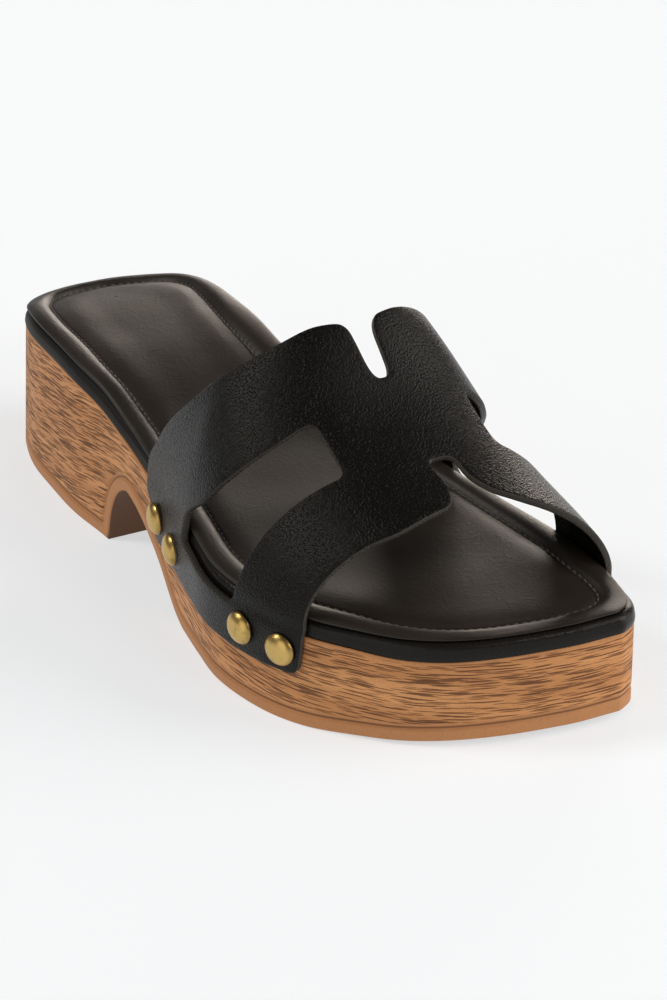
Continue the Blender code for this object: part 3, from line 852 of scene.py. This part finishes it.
# %% Where the stitches run
STITCH_PITCH = 0.0027
MILLIMETRE = 0.001

VALLEY = table("round inset", [
    (0, 6.3), (0.06, 6.4), (0.13, 7.5), (0.19, 8), (0.26, 8.8), (0.32, 9.1), (0.4, 9), (0.5, 9.2),
    (0.62, 9.3), (0.75, 8.9), (0.83, 8.8), (0.9, 9), (0.96, 9.7), (1, 9.5), (1.05, 8.6),
    (1.1, 7.4), (1.15, 7.8), (1.2, 9.4), (1.26, 10.1), (1.38, 10.3), (1.5, 10.7), (1.62, 11.7),
    (1.68, 11.8), (1.74, 9.6), (1.8, 7.3), (1.86, 7), (1.93, 7.5), (2, 6.3),
])


def valley_inset(loop):
    """Distance of the stitched valley from the wood's edge. The table runs once round the shoe, by
    the heel-to-toe angle: 0 to 1 down the outer side and 1 to 2 back up the inner one."""
    share = turn(loop["station"]) / math.pi
    around = np.where(loop["side"] < 0, share, 2.0 - share)
    return curve(around, VALLEY["round"], VALLEY["inset"]) * MILLIMETRE


ROLL = table("step share height", [
    (0, 0.04, -0.06), (0.06, -0.05, 0.06), (0.13, -0.12, 0.26), (0.2, -0.13, 0.45),
    (0.27, -0.08, 0.63), (0.35, 0.02, 0.8), (0.44, 0.15, 0.93), (0.54, 0.32, 1),
    (0.64, 0.5, 0.99), (0.74, 0.67, 0.88), (0.83, 0.81, 0.66), (0.91, 0.91, 0.4),
    (0.97, 0.97, 0.19), (1, 1, 0.12),
])


# %% Build the cushion
CUSHION_COLUMNS = 1480
CUSHION_BASE = BOARD_THICKNESS + CLEARANCE + 0.00012
VALLEY_RISE = CUSHION_HEIGHT * ROLL["height"][-1]
GROOVE_INSET = 0.0020
CORNER_BULGE = 0.0008
TOE_DRAW = 0.0003
ROLL_FOOT = 0.0024
ROLL_TUCK = 0.006
PUCKER = 0.00012
DENT = 0.00008
SEAM_RISE = 0.0003
PANEL_PUCKER = 0.00008
PANEL_RISE = 0.0008
PANEL_DISH = 0.0004
PANEL_UNEVEN = 0.00010
PANEL_STEPS = (0.0004, 0.0009, 0.0016, 0.0025, 0.0036, 0.005, 0.0068,
               0.009, 0.0115, 0.0145, 0.018, 0.022, 0.026)


def build_footbed():
    """Rings from the roll's foot over its crest to the valley, then over the panel. The height of
    each is the profile's, less a pucker between stitches, plus slow waves."""
    loop = shoe_loop(CUSHION_COLUMNS)
    base = CUSHION_BASE
    foot = base + wrap_rise(loop)
    crest = base + CUSHION_HEIGHT
    valley = valley_inset(loop)
    bulge = let_out(loop, heel=CORNER_BULGE, toe=0.0, behind=0.03)
    bulge = bulge - TOE_DRAW * blend(loop["station"], *TOE_FREE)
    start = GROOVE_INSET - bulge
    pucker = 0.5 + 0.5 * np.cos(loop["walk"] / STITCH_PITCH * 2 * math.pi)
    slow = waves(loop["x"], loop["y"], seed=11, count=10, finest=0.016)
    rings = [drawn_in(loop, start + ROLL_FOOT, base)]
    for step in np.linspace(0, 1, 25):
        share = float(curve(step, ROLL["step"], ROLL["share"]))
        high = float(curve(step, ROLL["step"], ROLL["height"]))
        level = base + (foot - base) * (1 - blend(share, 0.0, 0.5))
        under = min(share, 0.0) * ROLL_TUCK + max(share, 0.0) * (valley - start)
        pull = blend(share, 0.70, 0.97) * PUCKER * (1 - pucker)
        dent = slow * DENT * math.sin(math.pi * step)
        rings.append(drawn_in(loop, start + under, level + (crest - level) * high - pull + dent))
    half = local_width(loop["station"]) / 2
    for reach in PANEL_STEPS:
        stretch = 1 + ((half - 0.0125) / 0.028 - 1) * blend(reach, 0.0, PANEL_STEPS[-1])
        swell = PANEL_RISE * blend(reach, -0.0020, 0.0070) + SEAM_RISE * blend(reach, 0.0, 0.0010)
        pull = (1 - blend(reach, 0.0002, 0.0016)) * PANEL_PUCKER * (1 - pucker)
        spot = drawn_in(loop, valley + reach * stretch, 0.0)
        dish = PANEL_DISH * blend(reach, 0.003, 0.02)
        uneven = waves(spot[:, 0], spot[:, 1], seed=23, count=12, finest=0.022) * PANEL_UNEVEN
        uneven = uneven * blend(reach, 0.002, 0.01)
        spot[:, 2] += base + VALLEY_RISE + swell - pull - dish + uneven
        rings.append(spot)
    piece = build_layer("footbed_cushion", loop, rings, footbed_leather, "footbed")
    return piece


footbed_cushion = build_footbed()

# %% [markdown]
# ## The stitches
#
# About two hundred short stitches lie in the valley, 2.7 mm apart. Each is a little capsule of
# thread that dips into the leather at both ends. They're all one mesh: a capsule's points are
# worked out once, and whole arrays carry them to every place along the loop.

# %% Build the stitches
STITCH_HALF = 0.00100
STITCH_RISE = 0.00040
STITCH_DIP = 0.00046
THREAD_RADIUS = 0.00033
THREAD_SIDES = 6
THREAD_STEPS = 7


def unit(vectors):
    """Each vector divided by its own length."""
    return vectors / np.linalg.norm(vectors, axis=1, keepdims=True)


def build_stitches():
    """Along a stitch t runs from -1 to 1: its radius falls with t to the fourth, and its middle
    sinks with t squared. The three directions along, beside and above carry it to its place."""
    loop = shoe_loop(CUSHION_COLUMNS)
    total = int(round(loop["around"] / STITCH_PITCH))
    fine = drawn_in(loop, valley_inset(loop), CUSHION_BASE + VALLEY_RISE)
    closed = np.concatenate([fine, fine[:1]])
    walk = lengths_along(closed)

    def spot(at):
        return np.stack([np.interp(at, walk, closed[:, k]) for k in range(3)], -1)

    at = (np.arange(total) + 0.5) * walk[-1] / total
    middle = spot(at)
    along = unit(spot((at + 0.0008) % walk[-1]) - middle)
    side = unit(np.cross(along, [0.0, 0.0, 1.0]))
    up = np.cross(side, along)
    t = np.linspace(-1, 1, THREAD_STEPS)
    around = np.linspace(0, 2 * math.pi, THREAD_SIDES, endpoint=False)
    thick = THREAD_RADIUS * np.sqrt(np.clip(1.02 - t ** 4, 0, None))
    sink = STITCH_RISE - STITCH_DIP * t ** 2
    shape = np.stack([
        np.repeat(t * STITCH_HALF, THREAD_SIDES),
        (thick[:, None] * np.cos(around)).ravel(),
        (thick[:, None] * np.sin(around) + sink[:, None]).ravel(),
    ])
    points = middle[:, None, :] + np.einsum("kp,nkc->npc", shape, np.stack([along, side, up], 1))
    each = THREAD_STEPS * THREAD_SIDES
    tube = grid_faces(THREAD_STEPS, THREAD_SIDES, True)[:, ::-1]
    start = np.array([[0, 1, 2, 3], [0, 3, 4, 5]])
    end = (each - THREAD_SIDES + start)[:, ::-1]
    shell = np.concatenate([tube, start, end])
    faces = (shell[None] + (np.arange(total) * each)[:, None, None]).reshape(-1, 4)
    piece = add_piece("footbed_stitches", points.reshape(-1, 3), faces, thread, SOFT_ANGLE)
    return piece


footbed_stitches = build_stitches()


# %% [markdown]
# ## The vamp
#
# The upper is one H-shaped piece of leather 2 mm thick. It is cut flat, with a slot at the back, a
# notch in front and a window at each side, and then bent over the last: an arch from the instep's
# ridge down to the fold, and a band that lies on the platform's side. Here it's made in the same
# order. The pattern is drawn flat and filled with small even triangles, each point is laid on the
# last by a formula, and modifiers give it thickness and round its cut edges. A grid can't follow
# the curved outline, which is why this piece is triangles.

# %% The pattern, in shares of the way from ridge to fold
# Past 1 across, the pattern runs down the side band. Where flow is 0 the outline turns a rounded
# corner. The two halves share most of the rear edge, and the two windows most of their rear side.
OUTLINE = "across station flow"
REAR_EDGE = [
    (0.42, 0.645, 1), (0.635, 0.601, 1), (0.85, 0.53, 1), (0.96, 0.502, 1), (1.06, 0.506, 1),
    (1.4, 0.524, 1), (2, 0.53, 0), (2, 0.7, 1),
]
WINDOW_REAR = [
    (0.985, 0.634, 0), (0.93, 0.64, 1), (0.815, 0.679, 1), (0.715, 0.699, 1), (0.51, 0.724, 1),
]
VAMP_LATERAL = table(OUTLINE, [
    (0.047, 0.723, 0), (0.057, 0.71, 1), (0.066, 0.69, 1), (0.076, 0.671, 0), (0.17, 0.663, 1),
    (0.31, 0.656, 1),
    *REAR_EDGE,
    (2, 0.86, 0), (1.06, 0.866, 1), (0.85, 0.864, 1), (0.59, 0.868, 1), (0.44, 0.873, 1),
    (0.29, 0.88, 1), (0.11, 0.877, 1), (0.02, 0.874, 0), (0, 0.85, 1), (0.02, 0.814, 0),
])
VAMP_MEDIAL = table(OUTLINE, [
    (0, 0.723, 0), (0, 0.7, 1), (0, 0.685, 1), (0.006, 0.671, 0), (0.12, 0.664, 1),
    (0.25, 0.657, 1),
    *REAR_EDGE,
    (2, 0.89, 0), (1.06, 0.9, 1), (0.9, 0.903, 1), (0.66, 0.898, 1), (0.41, 0.888, 1),
    (0.23, 0.874, 1), (0.14, 0.86, 1), (0.09, 0.84, 1), (0.075, 0.814, 0),
])
WINDOW_LATERAL = table(OUTLINE, [
    *WINDOW_REAR,
    (0.295, 0.735, 0), (0.29, 0.765, 1), (0.295, 0.797, 0), (0.465, 0.79, 1), (0.725, 0.78, 1),
    (0.99, 0.77, 0), (0.99, 0.7, 1),
])
WINDOW_MEDIAL = table(OUTLINE, [
    *WINDOW_REAR,
    (0.33, 0.735, 0), (0.325, 0.765, 1), (0.33, 0.797, 0), (0.465, 0.802, 1), (0.725, 0.806, 1),
    (0.99, 0.806, 0), (0.99, 0.7, 1),
])

# Soft troughs and ridges of the leather: where they lie, how wide and long they are, how deep
CREASES = table("across station width length depth", [
    (0.96, 0.6, 0.03, 0.09, -0.0005), (0.97, 0.82, 0.03, 0.06, -0.0005),
    (0.12, 0.765, 0.12, 0.03, -0.0007), (-0.35, 0.7, 0.1, 0.05, 0.0005),
    (-0.62, 0.76, 0.08, 0.07, -0.0005), (0.62, 0.64, 0.14, 0.022, 0.0004),
    (-0.97, 0.56, 0.03, 0.06, -0.0004), (-0.97, 0.85, 0.03, 0.06, -0.0004),
])

# Stations from behind the pattern to before it, spacing of its points, steps round a corner, and
# how far a cut edge is rubbed
VAMP_REACH = (0.5, 0.91)
SURFACE_STEP = 0.0014
EDGE_STEP = 0.0012
ROUND_STEPS = 8
RUBBED_EDGE = 0.00035
print("pattern of", len(VAMP_LATERAL["station"]) + len(VAMP_MEDIAL["station"]), "outline points")


# %% Laying a flat point on the last
def crease_depth(across, station):
    """Sum of soft bumps: each is e to the minus squared distance, over a width and a length."""
    total = np.zeros_like(across)
    for middle, where, width, length, depth in zip(*CREASES.values()):
        total += depth * np.exp(-((across - middle) / width) ** 2 - ((station - where) / length) ** 2)
    return total


def vamp_points(across, station):
    """Outer face of the vamp. Up to 1 across it is a superellipse arch from ridge to fold, whose
    foot leans outwards; past 1 it lies on the wall. Creases move it along the arch's own outward
    direction."""
    across = np.asarray(across, float)
    station = np.asarray(station, float)
    lateral = across > 0
    reach = np.abs(across)
    out = CLEARANCE + LEATHER
    fold = wood_top(station) + FOLD_RISE
    height = fold - np.clip(reach - 1.0, 0.0, None) * BAND_DEPTH
    foot = np.empty_like(across)
    for side, chosen in (("lateral", lateral), ("medial", ~lateral)):
        sign = -1.0 if side == "lateral" else 1.0
        normal = edge_normal(side, station[chosen])
        lean = wall_lean(station[chosen], height[chosen])
        foot[chosen] = edge_x(side, turn(station[chosen])) + sign * (out - lean) / np.abs(normal[:, 0])
    lean = np.where(lateral, LATERAL_LEAN, MEDIAL_LEAN)
    power = 2.0 / np.where(lateral, LATERAL_ROUNDNESS, MEDIAL_ROUNDNESS)
    angle = lean + (math.pi / 2 - lean) * (1.0 - np.clip(reach, 0.0, 1.0))
    wide = (np.cos(angle) / np.cos(lean)) ** power
    low = np.sin(lean) ** power
    tall = (np.sin(angle) ** power - low) / (1.0 - low)
    crest = INSTEP_HEIGHT * curve(station, CREST["station"], CREST["share"])
    x = CREST_SHIFT + (foot - CREST_SHIFT) * np.where(reach < 1.0, wide, 1.0)
    z = np.where(reach < 1.0, fold + (crest - fold) * tall, height)
    dent = crease_depth(across, station)
    x = x + dent * np.cos(angle) * np.where(lateral, -1.0, 1.0)
    return np.column_stack([x, place(station), z + dent * np.sin(angle)])


def half_arc():
    """Rough length of leather from ridge to fold: a quarter of an ellipse, as tall as the ridge
    is on average, four fifths of the instep."""
    height = INSTEP_HEIGHT * 0.8 - FORE_HEIGHT
    return math.pi / 2 * math.sqrt(((BALL_WIDTH / 2) ** 2 + height ** 2) / 2)


def to_flat(across, station):
    """Pattern place as flat lengths in metres, so that the triangles are even."""
    reach = np.abs(np.asarray(across, float))
    flat = np.where(reach < 1.0, reach * half_arc(), half_arc() + (reach - 1.0) * BAND_DEPTH)
    return np.column_stack([np.sign(across) * flat, np.asarray(station) * LENGTH])


def from_flat(points):
    """The inverse of to_flat."""
    reach = np.abs(points[:, 0])
    across = np.where(reach < half_arc(), reach / half_arc(), 1.0 + (reach - half_arc()) / BAND_DEPTH)
    return np.sign(points[:, 0]) * across, points[:, 1] / LENGTH


# %% Drawing the outline
def flowing(points):
    """A smooth line through points, cut back at both ends to make room for rounded corners."""
    lengths = lengths_along(points)
    cut = min(CORNER, lengths[-1] * 0.4)
    steps = max(1, round((lengths[-1] - 2 * cut) / EDGE_STEP))
    along = np.linspace(cut, lengths[-1] - cut, steps + 1)
    return np.column_stack([curve(along, lengths, points[:, k]) for k in (0, 1)])


def rounded(points, flow):
    """A closed outline through points, with a parabola at each corner."""
    corners = np.flatnonzero(flow < 0.5)
    runs = []
    for i, first in enumerate(corners):
        count = (corners[(i + 1) % len(corners)] - first) % len(points)
        runs.append(flowing(points[(first + np.arange(count + 1)) % len(points)]))
    t = np.linspace(0.0, 1.0, ROUND_STEPS + 1)[1:-1, None]
    outline = []
    for i, run in enumerate(runs):
        k = (i + 1) % len(runs)
        here = points[corners[k]]
        outline += [run, run[-1] * (1 - t) ** 2 + here * 2 * t * (1 - t) + runs[k][0] * t * t]
    return np.concatenate(outline)


def inside(outline, points):
    """Whether each point lies inside a closed outline, by counting the edges it looks across."""
    found = np.zeros(len(points), bool)
    for a, b in zip(np.roll(outline, 1, axis=0), outline):
        crosses = (a[1] > points[:, 1]) != (b[1] > points[:, 1])
        rise = b[1] - a[1] if b[1] != a[1] else 1.0
        found ^= crosses & (points[:, 0] < a[0] + (points[:, 1] - a[1]) / rise * (b[0] - a[0]))
    return found


def far_from(outline, points, least):
    """Whether each point is at least one distance from every point of an outline."""
    nearest = np.full(len(points), 1.0)
    for part in np.array_split(outline, max(1, len(outline) // 60)):
        gap = points[:, None, :] - part[None, :, :]
        nearest = np.minimum(nearest, np.sqrt((gap ** 2).sum(-1)).min(axis=1))
    return nearest > least


def drawn(rows, side):
    """A table's outline on the flat pattern, on one side of the ridge."""
    return to_flat(rows["across"] * side, rows["station"])


def vamp_outlines():
    """Outer outline, lateral window and medial window of the flat pattern."""
    points = both_ways(drawn(VAMP_LATERAL, 1), drawn(VAMP_MEDIAL, -1))
    return (
        rounded(points, both_ways(VAMP_LATERAL["flow"], VAMP_MEDIAL["flow"])),
        rounded(drawn(WINDOW_LATERAL, 1), WINDOW_LATERAL["flow"]),
        rounded(drawn(WINDOW_MEDIAL, -1), WINDOW_MEDIAL["flow"]),
    )


# %% Filling it, bending it and giving it thickness
def pattern_mesh():
    """Points and triangles of the flat pattern: its outlines, its fold lines and an even scatter
    between, joined so that no other point lies in a triangle's circle."""
    loops = vamp_outlines()
    outer, *windows = loops
    least = SURFACE_STEP * 0.5
    edges = []
    start = 0
    for loop in loops:
        edges += [(start + i, start + (i + 1) % len(loop)) for i in range(len(loop))]
        start += len(loop)
    spread_x = np.arange(outer[:, 0].min(), outer[:, 0].max(), SURFACE_STEP)
    spread_y = np.arange(outer[:, 1].min(), outer[:, 1].max(), SURFACE_STEP)
    row, column = np.meshgrid(np.arange(len(spread_y)), np.arange(len(spread_x)), indexing="ij")
    across = spread_x[column] + row % 2 * SURFACE_STEP / 2
    grid = np.column_stack([across.ravel(), spread_y[row].ravel()])
    station = np.arange(*VAMP_REACH, EDGE_STEP / LENGTH)
    folds = np.concatenate([to_flat(np.full(len(station), sign), station) for sign in (1.0, -1.0)])
    border = np.concatenate(loops)

    def within(points):
        return inside(outer, points) & ~inside(windows[0], points) & ~inside(windows[1], points)

    grid = grid[within(grid) & far_from(border, grid, least) & far_from(folds, grid, least)]
    folds = folds[within(folds) & far_from(border, folds, EDGE_STEP * 0.5)]
    flat = [Vector(point) for point in np.concatenate([border, grid, folds]).tolist()]
    made, _, triangles, _, _, _ = delaunay_2d_cdt(flat, edges, [], 1, 1e-7)
    made = np.array([tuple(point) for point in made])
    triangles = np.array([tuple(t) for t in triangles if len(t) == 3])
    triangles = triangles[within(made[triangles].mean(axis=1))]
    used, faces = np.unique(triangles, return_inverse=True)
    return made[used], faces.reshape(-1, 3)


def build_vamp():
    """The bent pattern, turned to face outwards, then a wall of leather inside it with cut edges of
    their own material, rubbed round."""
    flat, faces = pattern_mesh()
    points = vamp_points(*from_flat(flat))
    a, b, c = (points[faces[:, k]] for k in range(3))
    if np.cross(b - a, c - a)[:, 2].sum() < 0:
        faces = faces[:, ::-1]
    piece = add_piece("vamp", points, faces, vamp_leather, CUT_ANGLE)
    piece.data.materials.append(vamp_edge)
    wall = piece.modifiers.new("leather", "SOLIDIFY")
    wall.thickness = LEATHER
    wall.offset = -1.0
    wall.use_even_offset = True
    wall.material_offset_rim = 1
    edge = piece.modifiers.new("rubbed_edge", "BEVEL")
    edge.width = RUBBED_EDGE
    edge.segments = 2
    edge.limit_method = "ANGLE"
    edge.angle_limit = math.radians(55)
    edge.material = -1
    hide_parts("upper")
    return piece


vamp = build_vamp()

# %% [markdown]
# ## The studs
#
# A stud's head is turned: one small profile carried round an axis. It has a thin upright rim and a
# low dome that flattens at the crown. Each head sits on the leather of the side band, looking
# straight out from the wall, so its place comes from the same curves as the band.

# %% Build the eight heads
STUDS = table("lateral medial drop", [
    (0.545, 0.545, 0.36), (0.606, 0.606, 0.46), (0.785, 0.822, 0.39), (0.838, 0.874, 0.46),
])

HEAD = table("radius rise", [
    (1, 0), (1, 0.12), (0.985, 0.2), (0.94, 0.33), (0.87, 0.48), (0.77, 0.64), (0.65, 0.77),
    (0.51, 0.87), (0.35, 0.945), (0.18, 0.985), (0.03, 1),
])


def build_stud(side, number, station, drop):
    """A profile (radius, rise) carried round the wall's outward direction; the flat back and the
    crown are closed by ladders."""
    here = np.array([station])
    height = wood_top(here) + FOLD_RISE - BAND_DEPTH * drop
    beside = station + np.array([-1, 0, 1]) * STUD_RADIUS / LENGTH
    wall = wall_points(side, beside, np.full(3, height[0]), CLEARANCE + LEATHER)
    normal = edge_normal(side, here)[0]
    bulge = max(0.0, *((wall[[0, 2], :2] - wall[1, :2]) @ normal))
    axis = np.array([normal[0], normal[1], 0.0])
    across = np.array([-normal[1], normal[0], 0.0])
    angle = np.linspace(0, 2 * math.pi, STUD_STEPS, endpoint=False)
    ring = np.cos(angle)[:, None] * across + np.sin(angle)[:, None] * np.array([0.0, 0.0, 1.0])
    radius = HEAD["radius"] * STUD_RADIUS
    centre = wall[1] + axis * (CLEARANCE + bulge)
    rise = HEAD["rise"] * STUD_RISE
    points = centre + radius[:, None, None] * ring + rise[:, None, None] * axis
    rows = len(radius)
    tube = grid_faces(rows, STUD_STEPS, True)
    back = ladder(0, STUD_STEPS)
    crown = ladder((rows - 1) * STUD_STEPS, STUD_STEPS)[:, ::-1]
    faces = np.concatenate([tube, back, crown])
    turned = np.stack([np.repeat(radius, STUD_STEPS), np.tile(angle, rows)], -1)[faces]
    name = f"stud_head_{side}_{number}"
    maps = {"turned": turned}
    piece = add_piece(name, points.reshape(-1, 3), faces, antique_brass, SOFT_ANGLE, maps)
    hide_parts(f"stud_{side}_{number}")
    return piece


for side in SIDES:
    for i, drop in enumerate(STUDS["drop"]):
        build_stud(side, i + 1, STUDS[side][i], drop)

# %% [markdown]
# ## Floor, light and camera
#
# A product photo of this kind is taken on a pale sweep under large soft boxes: no horizon, and one
# faint shadow close to the sole. A wide pale plane that glows a little, five soft suns and a dim
# even sky do the same. The camera is long, about 120 mm, and looks down by 27 degrees from the
# front, on the shoe's outer side.

# %% Floor
FLOOR_REACH = 25.0
FLOOR_GLOW = 0.57


def build_floor():
    """One square, pale grey with slow clouds, that gives a little light of its own."""
    glow = {"Emission_Color": (0.97, 0.985, 1.0, 1.0), "Emission_Strength": FLOOR_GLOW}
    finish = Finish("pale_floor", Roughness=0.9, Specular_IOR_Level=0.0, **glow)
    cloud = finish.noise(finish.place(), 3.0, 1.0)
    tone = finish.mix(cloud, (0.450, 0.474, 0.502), (0.455, 0.479, 0.507))
    finish.feed(finish.shader.inputs["Base Color"], tone)
    mesh = bpy.data.meshes.new("floor")
    far = FLOOR_REACH
    corners = [(-far, -far, 0), (far, -far, 0), (far, far, 0), (-far, far, 0)]
    mesh.from_pydata(corners, [], [(0, 1, 2, 3)])
    mesh.materials.append(finish.material)
    floor = bpy.data.objects.new("floor", mesh)
    bpy.context.scene.collection.objects.link(floor)
    return floor


floor = build_floor()


# %% Light
WARM = (1.0, 0.94, 0.87)
WARMER = (1.0, 0.88, 0.77)
MIDDLE = (0.0, 0.0, 0.04)
SKY = 0.13

# Each sun's name, strength, side that it shines from, width in degrees, and colour
SUNS = [
    ("front", 0.52, (0.22, -0.95, 0.62), 22, WARM),
    ("right", 2.20, (0.92, -0.42, 0.55), 52, WARM),
    ("left", 0.66, (-0.85, -0.50, 0.30), 50, WARM),
    ("above_left", 1.00, (-0.56, 0.38, 0.73), 18, WARM),
    ("back_right", 1.25, (0.61, 0.77, 0.17), 28, WARMER),
]


def add_sun(name, strength, place_at, degrees, colour):
    """A soft sun that looks at the middle of the shoe."""
    lamp = bpy.data.lights.new(name, "SUN")
    lamp.energy = strength
    lamp.angle = math.radians(degrees)
    lamp.color = colour
    sun = bpy.data.objects.new(name, lamp)
    sun.location = place_at
    look = Vector(MIDDLE) - Vector(place_at)
    sun.rotation_euler = look.to_track_quat("-Z", "Y").to_euler()
    bpy.context.scene.collection.objects.link(sun)


scene = bpy.context.scene
scene.view_settings.view_transform = "Standard"
world = bpy.data.worlds.new("soft_studio")
world.use_nodes = True
sky = world.node_tree.nodes["Background"].inputs
sky["Color"].default_value = (1.0, 1.0, 1.0, 1.0)
sky["Strength"].default_value = SKY
scene.world = world
for sun in SUNS:
    add_sun(*sun)
print(len(SUNS), "soft suns and a dim sky")


# %% Camera
CAMERA_PLACE = (SHIFT - 0.3651, -0.7789, 0.4585)
FOCAL_LENGTH = 120.6
SENSOR_WIDTH = 36.0

# Degrees round the shoe from its toe, above the floor, and of roll
CAMERA_ANGLES = (-26.6, 27.0, -0.82)


def build_camera(azimuth, elevation, roll):
    """A camera whose back, right and up directions follow from three angles in degrees."""
    a, e, r = (math.radians(v) for v in (azimuth, elevation, roll))
    back = Vector((math.sin(a) * math.cos(e), -math.cos(a) * math.cos(e), math.sin(e)))
    right = Vector((math.cos(a), math.sin(a), 0.0))
    up = back.cross(right)
    tilted = right * math.cos(r) + up * math.sin(r)
    raised = up * math.cos(r) - right * math.sin(r)
    lens = bpy.data.cameras.new("camera")
    lens.lens = FOCAL_LENGTH
    lens.sensor_width = SENSOR_WIDTH
    lens.clip_end = 2 * FLOOR_REACH
    camera = bpy.data.objects.new("camera", lens)
    camera.matrix_world = Matrix.Translation(CAMERA_PLACE) @ Matrix((
        (tilted.x, raised.x, back.x, 0.0),
        (tilted.y, raised.y, back.y, 0.0),
        (tilted.z, raised.z, back.z, 0.0),
        (0.0, 0.0, 0.0, 1.0),
    ))
    scene.collection.objects.link(camera)
    scene.camera = camera
    return camera


camera = build_camera(*CAMERA_ANGLES)
print("camera at", [round(v, 3) for v in camera.location])
